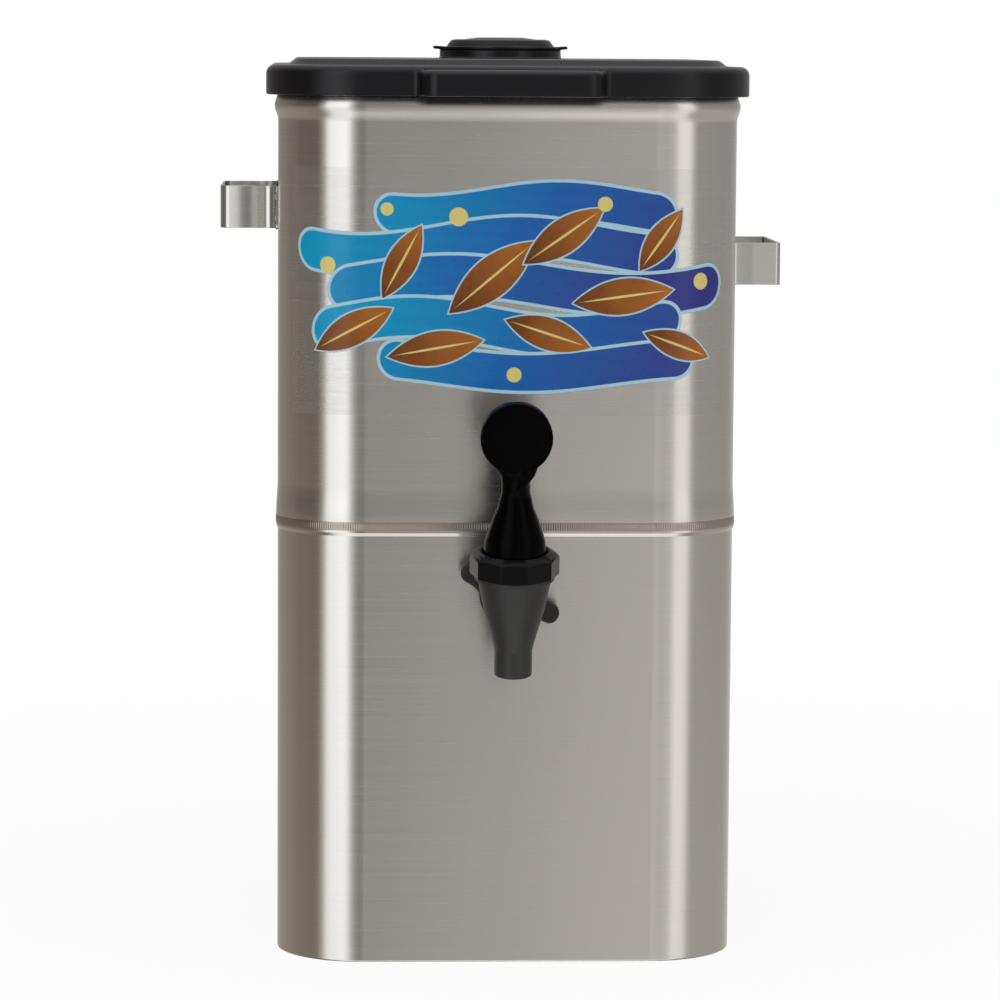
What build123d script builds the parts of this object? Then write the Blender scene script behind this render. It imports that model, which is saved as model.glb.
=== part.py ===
from build123d import *
import math
import os

# Iced tea dispenser: a stainless tank on a stainless skirt, with a lid, a filling plug and a lever faucet.
# Millimetres. Origin: centre of the footprint, on the surface that it stands on. +Z up, front towards -Y.

# Tank and skirt, as rounded rectangles in plan
body_width = 248.0
body_depth = 290.0
corner_radius = 47.0
sheet = 0.9
past = 1.0  # how far a cutting shape runs past what it cuts
seam_z = 231.3
shell_top_z = 478.8

# Shell wall: a bead below the lid, and a joggle that laps over the skirt
bead_z = 460.0
bead_half_height = 7.0
bead_bulge = 1.9
joggle_z = 247.5
joggle_height = 4.0
joggle_step = 0.9
lower_edge_curl = 0.7

# Skirt and floor pan
skirt_gap = 0.05
skirt_top_z = 246.0
hem_width = 6.0
floor_front_z = 190.0
floor_back_z = 221.0
pan_blank = 5.0  # what the pan's blank has below its floor before it is cut
cutter_depth = 300.0

# Strap handles, welded to the sides at staggered heights
strap_height = 23.4
strap_thickness = 1.5
strap_reach = 29.4
strap_grip = 82.0
strap_foot = 22.0
strap_bend = 5.0
left_handle_z = 403.0
right_handle_z = 372.6

# Front label film
label_low_z = 296.0
label_high_z = 428.0
label_wrap_deg = 55.0
label_thickness = 0.2

# Lid
lid_width = 261.0
lid_wall = 3.0
lid_low_z = 465.7
lid_rim_z = 481.8
lid_edge_fillet = 4.8
plateau_inset = 12.0
plateau_slope = 4.4
plateau_z = 485.2
tab_half_width = 48.2
tab_reach = 14.0
tab_corner = 7.0
tab_root = 5.0
tab_drop = 2.2
rib_gap = 1.3
rib_wall = 2.5
rib_low_z = 462.0
neck_radius = 34.0
neck_bore = 31.0
neck_top_z = 490.0
tab_zone_depth = 20.0

# Plug cap
plug_flange_radius = 34.2
plug_flange = 1.9
plug_wing_reach = 37.6
plug_wing_width = 22.0
plug_dome = [(30.1, 1.9), (29.3, 3.3), (27.9, 5.0), (25.0, 6.1), (15.0, 6.4), (11.0, 7.0)]  # above the neck
plug_skirt_radius = 30.3
plug_skirt_wall = 2.2
plug_skirt_low_z = 474.0
seal_z = 481.0
seal_wire = 1.3
seal_gap = 0.1
seal_seat = 0.6  # how far the groove for the seal ring reaches into the skirt

# Faucet: its own frame has Z along the chamber and +Y along the tail, towards the tank.
# The frame leans forward about X, because the tail slopes down from the tank.
faucet_lean_deg = 10.0
faucet_y = -201.0
faucet_z = 195.1
outlet_z = -31.3
spout_bore = 6.5
spout_radius = 9.9
spout_straight_top = -17.4
chamber_profile = [(12.2, -8.6), (15.9, 4.5), (18.8, 18.8)]
chamber_wall = 2.4
chamber_top = (19.4, 21.5)
seat_z = -9.0
collar_radius = 21.0
collar_top = 23.8
neck_thread_radius = 20.3
neck_thread_top = 31.0

# Tail, wing nut and spud along the faucet's +Y
tail_radius = 8.5
tail_start = 2.0
tail_end = 44.5
ring_groove_start = 41.0
ring_groove_end = 43.0
ring_groove_radius = 8.0
retaining_ring_radius = 11.4
retaining_ring_slot = 5.0
gasket_end = 47.0
spud_radius = 12.0
spud_bore = 7.0
spud_end = 66.0
boss_radius = 18.0
boss_thickness = 2.4
nut_start = 37.0
nut_end = 51.0
nut_radius = 16.5
nut_web = 3.6
nut_chamfer = 1.2
thread_clearance = 0.06
tail_clearance = 0.3
ear_reach = 29.0
ear_width = 10.0
ear_thickness = 6.0
ear_turn_deg = 22.6
ear_waist = 0.72  # where an ear starts to widen, as a share of its reach
ear_widening = 1.0
ear_root = 1.5

# Handle, pivot and valve
pivot_z = 36.6
bell_radius = 16.5
bell_cavity = 13.2
bell_bottom = 5.0
bell_roof = 9.8
bell_profile = [(15.6, 42.7), (14.0, 47.6)]
grip_sections = [
    (47.6, 14.0, 14.0), (54.6, 11.6, 11.0), (60.6, 8.9, 8.4),
    (66.5, 7.4, 7.0), (72.4, 7.5, 6.2), (78.4, 9.1, 5.2), (86.0, 12.0, 4.0),
]
head_z = 97.5
head_radius = 18.8
head_thickness = 9.0
medallion_radius = 17.3
medallion_depth = 1.2
head_edge = 1.0
pin_radius = 1.5
pin_clearance = 0.06
pivot_pin_half = 15.4
lift_pin_y = 8.5
lift_pin_half = 13.0
handle_lift = 4.5
cheek_inner = 5.2
cheek_thickness = 3.0
cheek_half_width = 3.6
cup_floor_low = 20.5
cup_floor_top = 23.5
cup_lower_radius = 16.6
cup_step_z = 24.3
cup_outer = 18.3
cup_inner = 17.0
cup_flange_radius = 20.2
cup_flange_top = 32.5
cup_corner = 1.6
cup_post_root = 0.5
stem_seal_depth = 2.0
stem_radius = 3.5
stem_clearance = 0.08
stem_foot_z = -6.5
stem_head_low = 1.7
stem_head_high = 3.5
stem_head_front = -3.4
stem_head_back = 9.6
stem_head_corner = 1.5
stem_head_inset = 1.0
slot_clearance = 0.15
seat_cup_radius = 8.6
seat_gap = 0.05
seat_cup_lip = 0.4
seat_cup_wall = 1.6
seat_cup_floor = 3.0
seat_cup_top = 1.5
seat_cup_hub = 5.6
spring_cap_z = 5.0
spring_cap_thickness = 1.4
spring_cap_radius = 7.4
spring_radius = 6.0
spring_wire = 0.9
spring_turns = 5.0
spring_gap = 0.05

# Bonnet
bonnet_sides = 10
bonnet_corner_radius = 23.5
bonnet_corner_turn = -74.5
bonnet_low = 24.0
bonnet_chamfer = 0.6
bonnet_lip_drop = 0.2
bonnet_lip_edge = 0.5
bonnet_shoulder = 33.6
bonnet_bore = 20.4
bonnet_bore_top = 32.6
bonnet_mouth = 17.4
bonnet_lip = 18.8


def section_face(points):
    """A face in the XZ plane from (x, z) points."""
    return make_face(Polyline([(x, 0, z) for x, z in points], close=True))


def turned(points):
    """A turned solid from (radius, height) points."""
    return revolve(section_face(points), Axis.Z, 360)


def wall_ring(points, width, depth, radius):
    """A closed wall of one section round a rounded rectangle.

    The section's points are (distance outside the outline, height).
    """
    section = section_face([(radius + out, z) for out, z in points])
    half_x = width / 2 - radius
    half_y = depth / 2 - radius
    corners = [(half_x, -half_y), (half_x, half_y), (-half_x, half_y), (-half_x, -half_y)]
    quarter = revolve(section, Axis.Z, 90)
    ring = None
    for side in range(4):
        run = 2 * (half_y if side % 2 == 0 else half_x)
        straight = extrude(section, amount=run, dir=(0, 1, 0))
        start = corners[side]
        end = corners[(side + 1) % 4]
        for piece, place in ((straight, start), (quarter, end)):
            placed = Pos(place[0], place[1], 0) * Rot(0, 0, 90 * side) * piece
            ring = placed if ring is None else ring + placed
    return ring


def plan_block(width, depth, radius, low, high):
    """An upright block with a rounded rectangle as its plan."""
    plan = RectangleRounded(width, depth, radius)
    return extrude(Pos(0, 0, low) * plan, amount=high - low)


def round_bar(radius, start, end, height=0.0):
    """A round bar along the faucet's Y axis."""
    return Pos(0, start, height) * Rot(-90, 0, 0) * Cylinder(
        radius, end - start, align=(Align.CENTER, Align.CENTER, Align.MIN))


def cross_pin(radius, half_length, y, z):
    """A round pin along X."""
    return Pos(0, y, z) * Rot(0, 90, 0) * Cylinder(radius, 2 * half_length)


faucet_place = Pos(0, faucet_y, faucet_z) * Rot(faucet_lean_deg, 0, 0)


def tank_shell():
    # Height and bulge along the bead, as shares of its half height and of its full bulge
    rise = [(-1.0, 0.0), (-0.75, 0.35), (-0.4, 0.85)]
    bead_steps = rise + [(0.0, 1.0)] + [(-t, f) for t, f in reversed(rise)]
    bead_out = [(bead_bulge * f, bead_z + bead_half_height * t) for t, f in bead_steps]
    bead_in = [(out - sheet, z) for out, z in reversed(bead_out)]
    lap = joggle_step
    points = [
        (lap - lower_edge_curl, seam_z),
        (lap, seam_z + 2 * lower_edge_curl),
        (lap, joggle_z),
        (0.0, joggle_z + joggle_height),
        *bead_out,
        (0.0, shell_top_z),
        (-sheet, shell_top_z),
        *bead_in,
        (-sheet, joggle_z + joggle_height),
        (lap - sheet, joggle_z),
        (lap - sheet, seam_z),
    ]
    return wall_ring(points, body_width, body_depth, corner_radius)


def spud_hole():
    """The hole for the spud's tube, through skirt and pan."""
    return faucet_place * round_bar(spud_radius, gasket_end, spud_end + spud_radius)


def lower_skirt():
    out = -skirt_gap
    points = [
        (out - hem_width, 0.0),
        (out - sheet, 0.0),
        (out, sheet),
        (out, skirt_top_z),
        (out - sheet, skirt_top_z),
        (out - sheet, 2 * sheet),
        (out - hem_width, 2 * sheet),
    ]
    return wall_ring(points, body_width, body_depth, corner_radius) - spud_hole()


def pan_cutter(rise):
    """All that lies under the sloping floor, moved up by rise."""
    half = body_depth / 2
    wedge = Polyline(
        [(-half, floor_front_z + rise - cutter_depth), (half, floor_back_z + rise - cutter_depth),
         (half, floor_back_z + rise), (-half, floor_front_z + rise)], close=True)
    side = make_face(Plane.YZ * wedge)
    return extrude(side, amount=body_width, both=True)


def tank_floor_pan():
    outer_in = 2 * (sheet + 2 * skirt_gap)
    outer = plan_block(body_width - outer_in, body_depth - outer_in, corner_radius - outer_in / 2,
                       floor_front_z - pan_blank, skirt_top_z)
    inner_in = outer_in + 2 * sheet
    inner = plan_block(body_width - inner_in, body_depth - inner_in, corner_radius - inner_in / 2,
                       floor_front_z - pan_blank, skirt_top_z + past)
    pan = (outer - pan_cutter(0)) - (inner - pan_cutter(sheet))
    return pan - spud_hole()


def strap_handle(side, height):
    x_foot = body_width / 2 + strap_thickness / 2
    x_grip = body_width / 2 + strap_reach
    leg = strap_grip / 2
    foot = leg + strap_foot
    route = FilletPolyline(
        (x_foot, -foot), (x_foot, -leg), (x_grip, -leg), (x_grip, leg), (x_foot, leg), (x_foot, foot),
        radius=strap_bend)
    strip = offset(route, amount=strap_thickness / 2, side=Side.BOTH)
    strap = extrude(make_face(strip), amount=strap_height)
    strap = Pos(0, 0, height - strap_height / 2) * strap
    return strap if side > 0 else mirror(strap, about=Plane.YZ)


def front_label():
    half_x = body_width / 2 - corner_radius
    half_y = body_depth / 2 - corner_radius
    section = section_face([
        (corner_radius, label_low_z), (corner_radius + label_thickness, label_low_z),
        (corner_radius + label_thickness, label_high_z), (corner_radius, label_high_z)])
    wrap = revolve(section, Axis.Z, label_wrap_deg)
    flat = Rot(0, 0, -90) * extrude(section, amount=2 * half_x, dir=(0, 1, 0))
    left = Pos(-half_x, -half_y, 0) * Rot(0, 0, -90 - label_wrap_deg) * wrap
    right = Pos(half_x, -half_y, 0) * Rot(0, 0, -90) * wrap
    return left + Pos(-half_x, -half_y, 0) * flat + right


def lid_outline(inset):
    """The lid's plan with its two grip tabs, drawn in by inset."""
    over = lid_width - body_width
    depth = body_depth + over
    plan = RectangleRounded(lid_width, depth, corner_radius + over / 2)
    tabs = Rectangle(2 * tab_half_width, depth + 2 * tab_reach)
    whole = plan + tabs
    outer = [v for v in whole.vertices() if abs(v.Y) > depth / 2 + 1]
    whole = fillet(outer, tab_corner)
    roots = [v for v in whole.vertices()
             if abs(abs(v.Y) - depth / 2) < 0.1 and abs(abs(v.X) - tab_half_width) < 0.1]
    whole = fillet(roots, tab_root)
    return offset(whole, amount=-inset) if inset else whole


def tab_zone(low, high):
    """The two blocks that hold the tabs."""
    over = lid_width - body_width
    front = (body_depth + over) / 2
    zone = Pos(0, -front - tab_zone_depth, low) * Box(
        4 * tab_half_width, 2 * tab_zone_depth, high - low, align=(Align.CENTER, Align.CENTER, Align.MIN))
    return zone + mirror(zone, about=Plane.XZ)


def lid_shell():
    over = lid_width - body_width
    depth = body_depth + over
    radius = corner_radius + over / 2
    crown = plan_block(lid_width, depth, radius, lid_low_z, lid_rim_z)
    crown = fillet(crown.faces().sort_by(Axis.Z)[-1].edges(), lid_edge_fillet)
    tabs = extrude(Pos(0, 0, lid_low_z) * lid_outline(0), amount=lid_rim_z - tab_drop - lid_low_z)
    top_edges = tabs.faces().sort_by(Axis.Z)[-1].edges()
    tabs = fillet(top_edges, lid_wall) & tab_zone(lid_low_z - past, lid_rim_z)
    slope = math.degrees(math.atan2(plateau_slope, plateau_z - lid_rim_z))
    base_width = lid_width - 2 * plateau_inset
    base_depth = depth - 2 * plateau_inset
    base = RectangleRounded(base_width, base_depth, radius - plateau_inset)
    plateau = extrude(Pos(0, 0, lid_rim_z) * base, amount=plateau_z - lid_rim_z, taper=slope)
    solid = crown + tabs + plateau
    hollow = plan_block(lid_width - 2 * lid_wall, depth - 2 * lid_wall, radius - lid_wall,
                        lid_low_z - past, lid_rim_z - lid_wall)
    pocket_inset = 2 * (plateau_inset + plateau_slope)
    pocket = plan_block(lid_width - pocket_inset, depth - pocket_inset, radius - pocket_inset / 2,
                        lid_low_z, plateau_z - lid_wall)
    tab_hollow = extrude(Pos(0, 0, lid_low_z - past) * lid_outline(lid_wall),
                         amount=lid_rim_z - tab_drop - lid_wall - lid_low_z + past)
    solid = solid - hollow - pocket - tab_hollow
    rib_inset = 2 * (sheet + rib_gap)
    rib = wall_ring([(0, rib_low_z), (0, lid_rim_z - lid_wall), (-rib_wall, lid_rim_z - lid_wall),
                     (-rib_wall, rib_low_z)],
                    body_width - rib_inset, body_depth - rib_inset, corner_radius - rib_inset / 2)
    neck = Pos(0, 0, plateau_z - 2 * lid_wall) * Cylinder(
        neck_radius, neck_top_z - plateau_z + 2 * lid_wall, align=(Align.CENTER, Align.CENTER, Align.MIN))
    bore = Cylinder(neck_bore, 3 * neck_top_z)
    return solid + rib + neck - bore


def plug_cap():
    skirt_inside = plug_skirt_radius - plug_skirt_wall
    points = [
        (0, neck_top_z), (skirt_inside, neck_top_z), (skirt_inside, plug_skirt_low_z),
        (plug_skirt_radius, plug_skirt_low_z), (plug_skirt_radius, neck_top_z),
        (plug_flange_radius, neck_top_z), (plug_flange_radius, neck_top_z + plug_flange),
        *[(radius, neck_top_z + rise) for radius, rise in plug_dome],
        (0, neck_top_z + plug_dome[-1][1])]
    body = turned(points)
    wing_plan = Rectangle(2 * plug_wing_reach, plug_wing_width)
    wing_plan = fillet(wing_plan.vertices(), plug_wing_width / 3)
    wings = extrude(Pos(0, 0, neck_top_z + plug_flange / 2) * wing_plan, amount=plug_flange / 2)
    wings = wings - Cylinder(skirt_inside, 3 * neck_top_z)
    groove = Pos(0, 0, seal_z) * Torus(plug_skirt_radius - seal_wire + seal_seat, seal_wire)
    return body + wings - groove


def plug_seal_ring():
    return Pos(0, 0, seal_z) * Torus(neck_bore - seal_gap - seal_wire, seal_wire)


def outlet_spud():
    """The threaded tube with a boss welded against the skirt's front."""
    tube = faucet_place * round_bar(spud_radius, gasket_end, spud_end)
    front = -body_depth / 2 + skirt_gap
    centre_z = faucet_z + (front - faucet_y) * math.tan(math.radians(faucet_lean_deg))
    boss = Pos(0, front - boss_thickness, centre_z) * Rot(-90, 0, 0) * Cylinder(
        boss_radius, boss_thickness, align=(Align.CENTER, Align.CENTER, Align.MIN))
    bore = faucet_place * round_bar(spud_bore, gasket_end - past, spud_end + past)
    return tube + boss - bore


def shank_gasket():
    ring = round_bar(retaining_ring_radius, tail_end, gasket_end)
    return faucet_place * (ring - round_bar(spud_bore, tail_end - past, gasket_end + past))


def nut_retaining_ring():
    ring = round_bar(retaining_ring_radius, ring_groove_start, ring_groove_end)
    ring = ring - round_bar(ring_groove_radius, ring_groove_start - past, ring_groove_end + past)
    middle = (ring_groove_start + ring_groove_end) / 2
    slot = Pos(0, middle, -retaining_ring_radius) * Box(
        retaining_ring_slot, ring_groove_end - ring_groove_start + 2 * past, 2 * ring_groove_radius)
    return faucet_place * (ring - slot)


def wing_nut():
    hub = round_bar(nut_radius, nut_start, nut_end)
    hub = chamfer(hub.edges().group_by(Axis.Y)[0], nut_chamfer)
    reach = ear_reach - ear_width / 2
    waist = reach * ear_waist
    half_width = ear_width / 2
    root = nut_radius - ear_root
    ear = Polyline(
        [(0, root), (waist, half_width + ear_widening), (reach, half_width),
         (reach, -half_width), (waist, -half_width - ear_widening), (0, -root)], close=True)
    plan = make_face(ear) + Pos(reach, 0) * Circle(half_width)
    plan = plan + mirror(plan, about=Plane.YZ)
    blade = extrude(Plane.XZ * plan, amount=-ear_thickness)
    blade = Pos(0, nut_start + nut_web, 0) * Rot(0, ear_turn_deg, 0) * blade
    nut = hub + blade
    nut = nut - round_bar(spud_radius + thread_clearance, nut_start + nut_web, nut_end + past)
    nut = nut - round_bar(tail_radius + tail_clearance, nut_start - past, nut_end)
    return faucet_place * nut


def faucet_body():
    rise = Spline([(spout_radius, 0, spout_straight_top)] + [(r, 0, z) for r, z in chamber_profile]
                  + [(chamber_top[0], 0, chamber_top[1])])
    outline = Polyline(
        [(chamber_top[0], 0, chamber_top[1]), (collar_radius, 0, chamber_top[1]),
         (collar_radius, 0, collar_top), (neck_thread_radius, 0, collar_top),
         (neck_thread_radius, 0, neck_thread_top), (0, 0, neck_thread_top), (0, 0, outlet_z),
         (spout_radius, 0, outlet_z), (spout_radius, 0, spout_straight_top)])
    outer = revolve(make_face([*rise.edges(), *outline.edges()]), Axis.Z, 360)
    tail = round_bar(tail_radius, tail_start, tail_end)
    groove = round_bar(tail_radius + past, ring_groove_start, ring_groove_end)
    groove = groove - round_bar(ring_groove_radius, ring_groove_start - past, ring_groove_end + past)
    inside = [(spout_bore, outlet_z - past), (spout_bore, seat_z),
              (chamber_profile[0][0] - chamber_wall, seat_z)]
    inside += [(r - chamber_wall, z) for r, z in chamber_profile[1:]]
    shoulder = inside[-1][0]
    inside += [(shoulder, cup_floor_low), (cup_lower_radius + pin_clearance, cup_floor_low),
               (cup_lower_radius + pin_clearance, cup_step_z), (cup_outer + pin_clearance, cup_step_z),
               (cup_outer + pin_clearance, neck_thread_top + past), (0, neck_thread_top + past),
               (0, outlet_z - past)]
    body = outer + tail - groove - turned(inside)
    body = body - round_bar(spout_bore, 0, tail_end + past)
    return faucet_place * body


def pivot_cup():
    seal_low = (cup_floor_low + cup_floor_top) / 2 - seal_wire / 2
    seal_high = seal_low + seal_wire
    hole = stem_radius + stem_clearance
    points = [
        (hole, cup_floor_low), (cup_lower_radius, cup_floor_low), (cup_lower_radius, cup_step_z),
        (cup_outer, cup_step_z), (cup_outer, neck_thread_top), (cup_flange_radius, neck_thread_top),
        (cup_flange_radius, cup_flange_top), (cup_inner, cup_flange_top),
        (cup_inner, cup_floor_top + cup_corner),
        (cup_inner - cup_corner, cup_floor_top), (hole, cup_floor_top), (hole, seal_high),
        (hole + stem_seal_depth, seal_high), (hole + stem_seal_depth, seal_low), (hole, seal_low),
    ]
    cup = turned(points)
    cheek_mid = cheek_inner + cheek_thickness / 2
    for side in (-1, 1):
        post = Pos(side * cheek_mid, 0, cup_floor_top - cup_post_root) * Box(
            cheek_thickness, 2 * cheek_half_width, pivot_z - cup_floor_top + cup_post_root,
            align=(Align.CENTER, Align.CENTER, Align.MIN))
        eye = Cylinder(cheek_half_width, cheek_thickness)
        eye = Pos(side * cheek_mid, 0, pivot_z) * Rot(0, 90, 0) * eye
        cup = cup + (post + eye)
    cup = cup - cross_pin(pin_radius + pin_clearance, cheek_inner + cheek_thickness + past, 0, pivot_z)
    return faucet_place * cup


def stem_seal():
    seal_low = (cup_floor_low + cup_floor_top) / 2 - seal_wire / 2
    seal_high = seal_low + seal_wire
    hole = stem_radius + stem_clearance
    outside = hole + stem_seal_depth
    ring = turned([(hole, seal_low), (outside, seal_low), (outside, seal_high), (hole, seal_high)])
    return faucet_place * ring


def faucet_bonnet():
    prism = Pos(0, 0, bonnet_low) * extrude(
        RegularPolygon(bonnet_corner_radius, bonnet_sides, rotation=bonnet_corner_turn),
        amount=pivot_z - bonnet_low)
    form = turned([
        (0, bonnet_low), (bonnet_corner_radius - bonnet_chamfer, bonnet_low),
        (bonnet_corner_radius, bonnet_low + bonnet_chamfer), (bonnet_corner_radius, bonnet_shoulder),
        (bonnet_lip, pivot_z - bonnet_lip_drop), (bonnet_lip - bonnet_lip_edge, pivot_z), (0, pivot_z)])
    bore = turned([(0, bonnet_low - past), (bonnet_bore, bonnet_low - past), (bonnet_bore, bonnet_bore_top),
                   (bonnet_mouth, bonnet_bore_top), (bonnet_mouth, pivot_z + past), (0, pivot_z + past)])
    return faucet_place * ((prism & form) - bore)


def handle_base():
    bottom_radius = math.sqrt(bell_radius ** 2 - bell_bottom ** 2)
    half_drop = bell_bottom / 2
    half_radius = math.sqrt(bell_radius ** 2 - half_drop ** 2)
    points = [
        (0, pivot_z - bell_bottom), (bottom_radius, pivot_z - bell_bottom),
        (half_radius, pivot_z - half_drop), (bell_radius, pivot_z),
        *bell_profile, (0, bell_profile[-1][1])]
    cavity = Pos(0, 0, pivot_z) * Sphere(bell_cavity)
    roof_size = 2 * bell_radius
    roof = Pos(0, 0, pivot_z + bell_roof) * Box(
        roof_size, roof_size, roof_size, align=(Align.CENTER, Align.CENTER, Align.MIN))
    bell = turned(points) - (cavity - roof)
    bell = bell - cross_pin(pin_radius, pivot_pin_half, 0, pivot_z)
    bell = bell - cross_pin(pin_radius, lift_pin_half, lift_pin_y, pivot_z)
    return faucet_place * bell


def handle_grip():
    rings = [Pos(0, 0, z) * Ellipse(half_x, half_y) for z, half_x, half_y in grip_sections]
    neck = loft(rings)
    head = Pos(0, -head_thickness / 2, head_z) * Rot(-90, 0, 0) * Cylinder(
        head_radius, head_thickness, align=(Align.CENTER, Align.CENTER, Align.MIN))
    head = fillet(head.edges(), head_edge)
    recess = Pos(0, -head_thickness / 2, head_z) * Rot(-90, 0, 0) * Cylinder(
        medallion_radius, medallion_depth, align=(Align.CENTER, Align.CENTER, Align.MIN))
    return faucet_place * (neck + head - recess)


def handle_medallion():
    face = Pos(0, -head_thickness / 2, head_z) * Rot(-90, 0, 0) * Cylinder(
        medallion_radius, medallion_depth, align=(Align.CENTER, Align.CENTER, Align.MIN))
    return faucet_place * face


def pivot_pin():
    return faucet_place * cross_pin(pin_radius, pivot_pin_half, 0, pivot_z)


def lift_pin():
    return faucet_place * cross_pin(pin_radius, lift_pin_half, lift_pin_y, pivot_z)


def valve_stem():
    rod = Pos(0, 0, stem_foot_z) * Cylinder(
        stem_radius, pivot_z + stem_head_low - stem_foot_z, align=(Align.CENTER, Align.CENTER, Align.MIN))
    slot_gap = pin_radius + slot_clearance
    slot = Pos(0, 0, pivot_z + stem_head_low) * Box(
        4 * stem_radius, 2 * slot_gap, handle_lift + slot_gap + stem_head_low,
        align=(Align.CENTER, Align.CENTER, Align.MAX))
    head_length = stem_head_back - stem_head_front
    head = Pos(0, (stem_head_back + stem_head_front) / 2, pivot_z + stem_head_low) * Box(
        2 * stem_radius - stem_head_inset, head_length, stem_head_high - stem_head_low,
        align=(Align.CENTER, Align.CENTER, Align.MIN))
    head = fillet(head.edges().filter_by(Axis.Z), stem_head_corner)
    return faucet_place * ((rod - slot) + head)


def seat_cup():
    low = seat_z + seat_gap
    top = seat_cup_top
    points = [
        (0, low), (seat_cup_radius, low), (seat_cup_radius, low + seat_cup_floor),
        (seat_cup_radius - seat_cup_lip, top), (seat_cup_radius - seat_cup_wall, top),
        (seat_cup_radius - seat_cup_wall, low + seat_cup_floor), (seat_cup_hub, low + seat_cup_floor),
        (seat_cup_hub, spring_cap_z), (stem_radius, spring_cap_z), (stem_radius, stem_foot_z),
        (0, stem_foot_z)]
    return faucet_place * turned(points)


def spring_cap():
    ring = turned([
        (stem_radius, spring_cap_z), (spring_cap_radius, spring_cap_z),
        (spring_cap_radius, spring_cap_z + spring_cap_thickness),
        (stem_radius, spring_cap_z + spring_cap_thickness)])
    return faucet_place * ring


def seat_spring():
    low = spring_cap_z + spring_cap_thickness + spring_wire / 2 + spring_gap
    height = cup_floor_low - spring_wire / 2 - spring_gap - low
    path = Helix(height / spring_turns, height, spring_radius)
    start = path @ 0
    section = Plane(origin=start, z_dir=path % 0) * Circle(spring_wire / 2)
    return faucet_place * Pos(0, 0, low) * sweep(section, path=path)


def left_handle():
    return strap_handle(-1, left_handle_z)


def right_handle():
    return strap_handle(1, right_handle_z)


def main():
    os.makedirs("parts", exist_ok=True)
    makers = [
        tank_shell, lower_skirt, tank_floor_pan, left_handle, right_handle, front_label,
        lid_shell, plug_cap, plug_seal_ring,
        outlet_spud, shank_gasket, nut_retaining_ring, wing_nut,
        faucet_body, pivot_cup, stem_seal, faucet_bonnet,
        handle_base, handle_grip, handle_medallion, pivot_pin, lift_pin,
        valve_stem, seat_cup, spring_cap, seat_spring,
    ]
    for make in makers:
        export_step(make(), f"parts/{make.__name__}.step")


main()
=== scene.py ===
# %% [markdown]
# # A stainless iced tea dispenser, dressed in Blender
#
# This lesson gives each piece its visible form and its finish. Lengths are in metres, +Z is up, and the
# faucet points towards -Y.

# %% Load the frame
import math
from functools import partial

import bmesh
import bpy
from mathutils import Matrix, Vector


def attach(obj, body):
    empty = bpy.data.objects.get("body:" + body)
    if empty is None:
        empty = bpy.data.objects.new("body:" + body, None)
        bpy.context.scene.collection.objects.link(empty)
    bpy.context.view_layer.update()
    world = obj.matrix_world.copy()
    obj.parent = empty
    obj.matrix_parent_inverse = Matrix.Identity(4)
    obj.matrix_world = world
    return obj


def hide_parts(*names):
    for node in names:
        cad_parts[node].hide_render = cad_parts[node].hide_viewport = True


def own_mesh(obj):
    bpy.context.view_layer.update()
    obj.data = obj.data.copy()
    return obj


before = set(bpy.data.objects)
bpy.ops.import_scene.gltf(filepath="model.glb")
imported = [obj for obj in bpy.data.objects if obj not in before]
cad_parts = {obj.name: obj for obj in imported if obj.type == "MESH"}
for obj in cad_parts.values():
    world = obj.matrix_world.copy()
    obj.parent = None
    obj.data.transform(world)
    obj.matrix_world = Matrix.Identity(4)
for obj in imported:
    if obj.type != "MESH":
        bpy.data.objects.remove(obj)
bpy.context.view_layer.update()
MM = 0.001


def new_object(name, data):
    """An object with that data, in the scene."""
    made = bpy.data.objects.new(name, data)
    bpy.context.scene.collection.objects.link(made)
    return made


# %% [markdown]
# ## The camera
#
# A product photograph is taken from far away with a long lens, so that upright edges stay upright.
# A camera can be placed by eye, or worked out from a few known points, as was done here: the curve of the
# base, the seam and the lid's edge fix the distance, the height and the three small turns.

# %% Camera
CAMERA_PLACE = Vector((-110.7, -2471.0, 492.8)) * MM
CAMERA_YAW = math.radians(2.60)
CAMERA_PITCH = math.radians(5.93)
CAMERA_ROLL = math.radians(0.37)
LENS_MM = 157.68

ahead = Vector((math.sin(CAMERA_YAW) * math.cos(CAMERA_PITCH),
                math.cos(CAMERA_YAW) * math.cos(CAMERA_PITCH),
                -math.sin(CAMERA_PITCH)))
level_right = Vector((math.cos(CAMERA_YAW), -math.sin(CAMERA_YAW), 0))
level_up = level_right.cross(ahead)
right = math.cos(CAMERA_ROLL) * level_right + math.sin(CAMERA_ROLL) * level_up
up = math.cos(CAMERA_ROLL) * level_up - math.sin(CAMERA_ROLL) * level_right

camera = new_object("camera", bpy.data.cameras.new("camera"))
camera.data.lens = LENS_MM
camera.data.sensor_width = 36.0
camera.data.clip_end = 50.0
camera.matrix_world = Matrix.Translation(CAMERA_PLACE) @ Matrix((right, up, -ahead)).transposed().to_4x4()
bpy.context.scene.camera = camera
bpy.context.scene.view_settings.view_transform = "Standard"
print(f"camera {-CAMERA_PLACE.y:.2f} m in front, lens {LENS_MM:.0f} mm")

# %% [markdown]
# ## Shader maths as plain expressions
#
# A finish is a small calculation that runs at every point of a surface. Wiring Math nodes by hand hides
# the formula, so `Wire` wraps a node's output: `1 - mask * 0.3` adds the nodes by itself. Every other
# kind of node comes from `Wire.node`, which sets the node up first and then fills or links its inputs.

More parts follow.
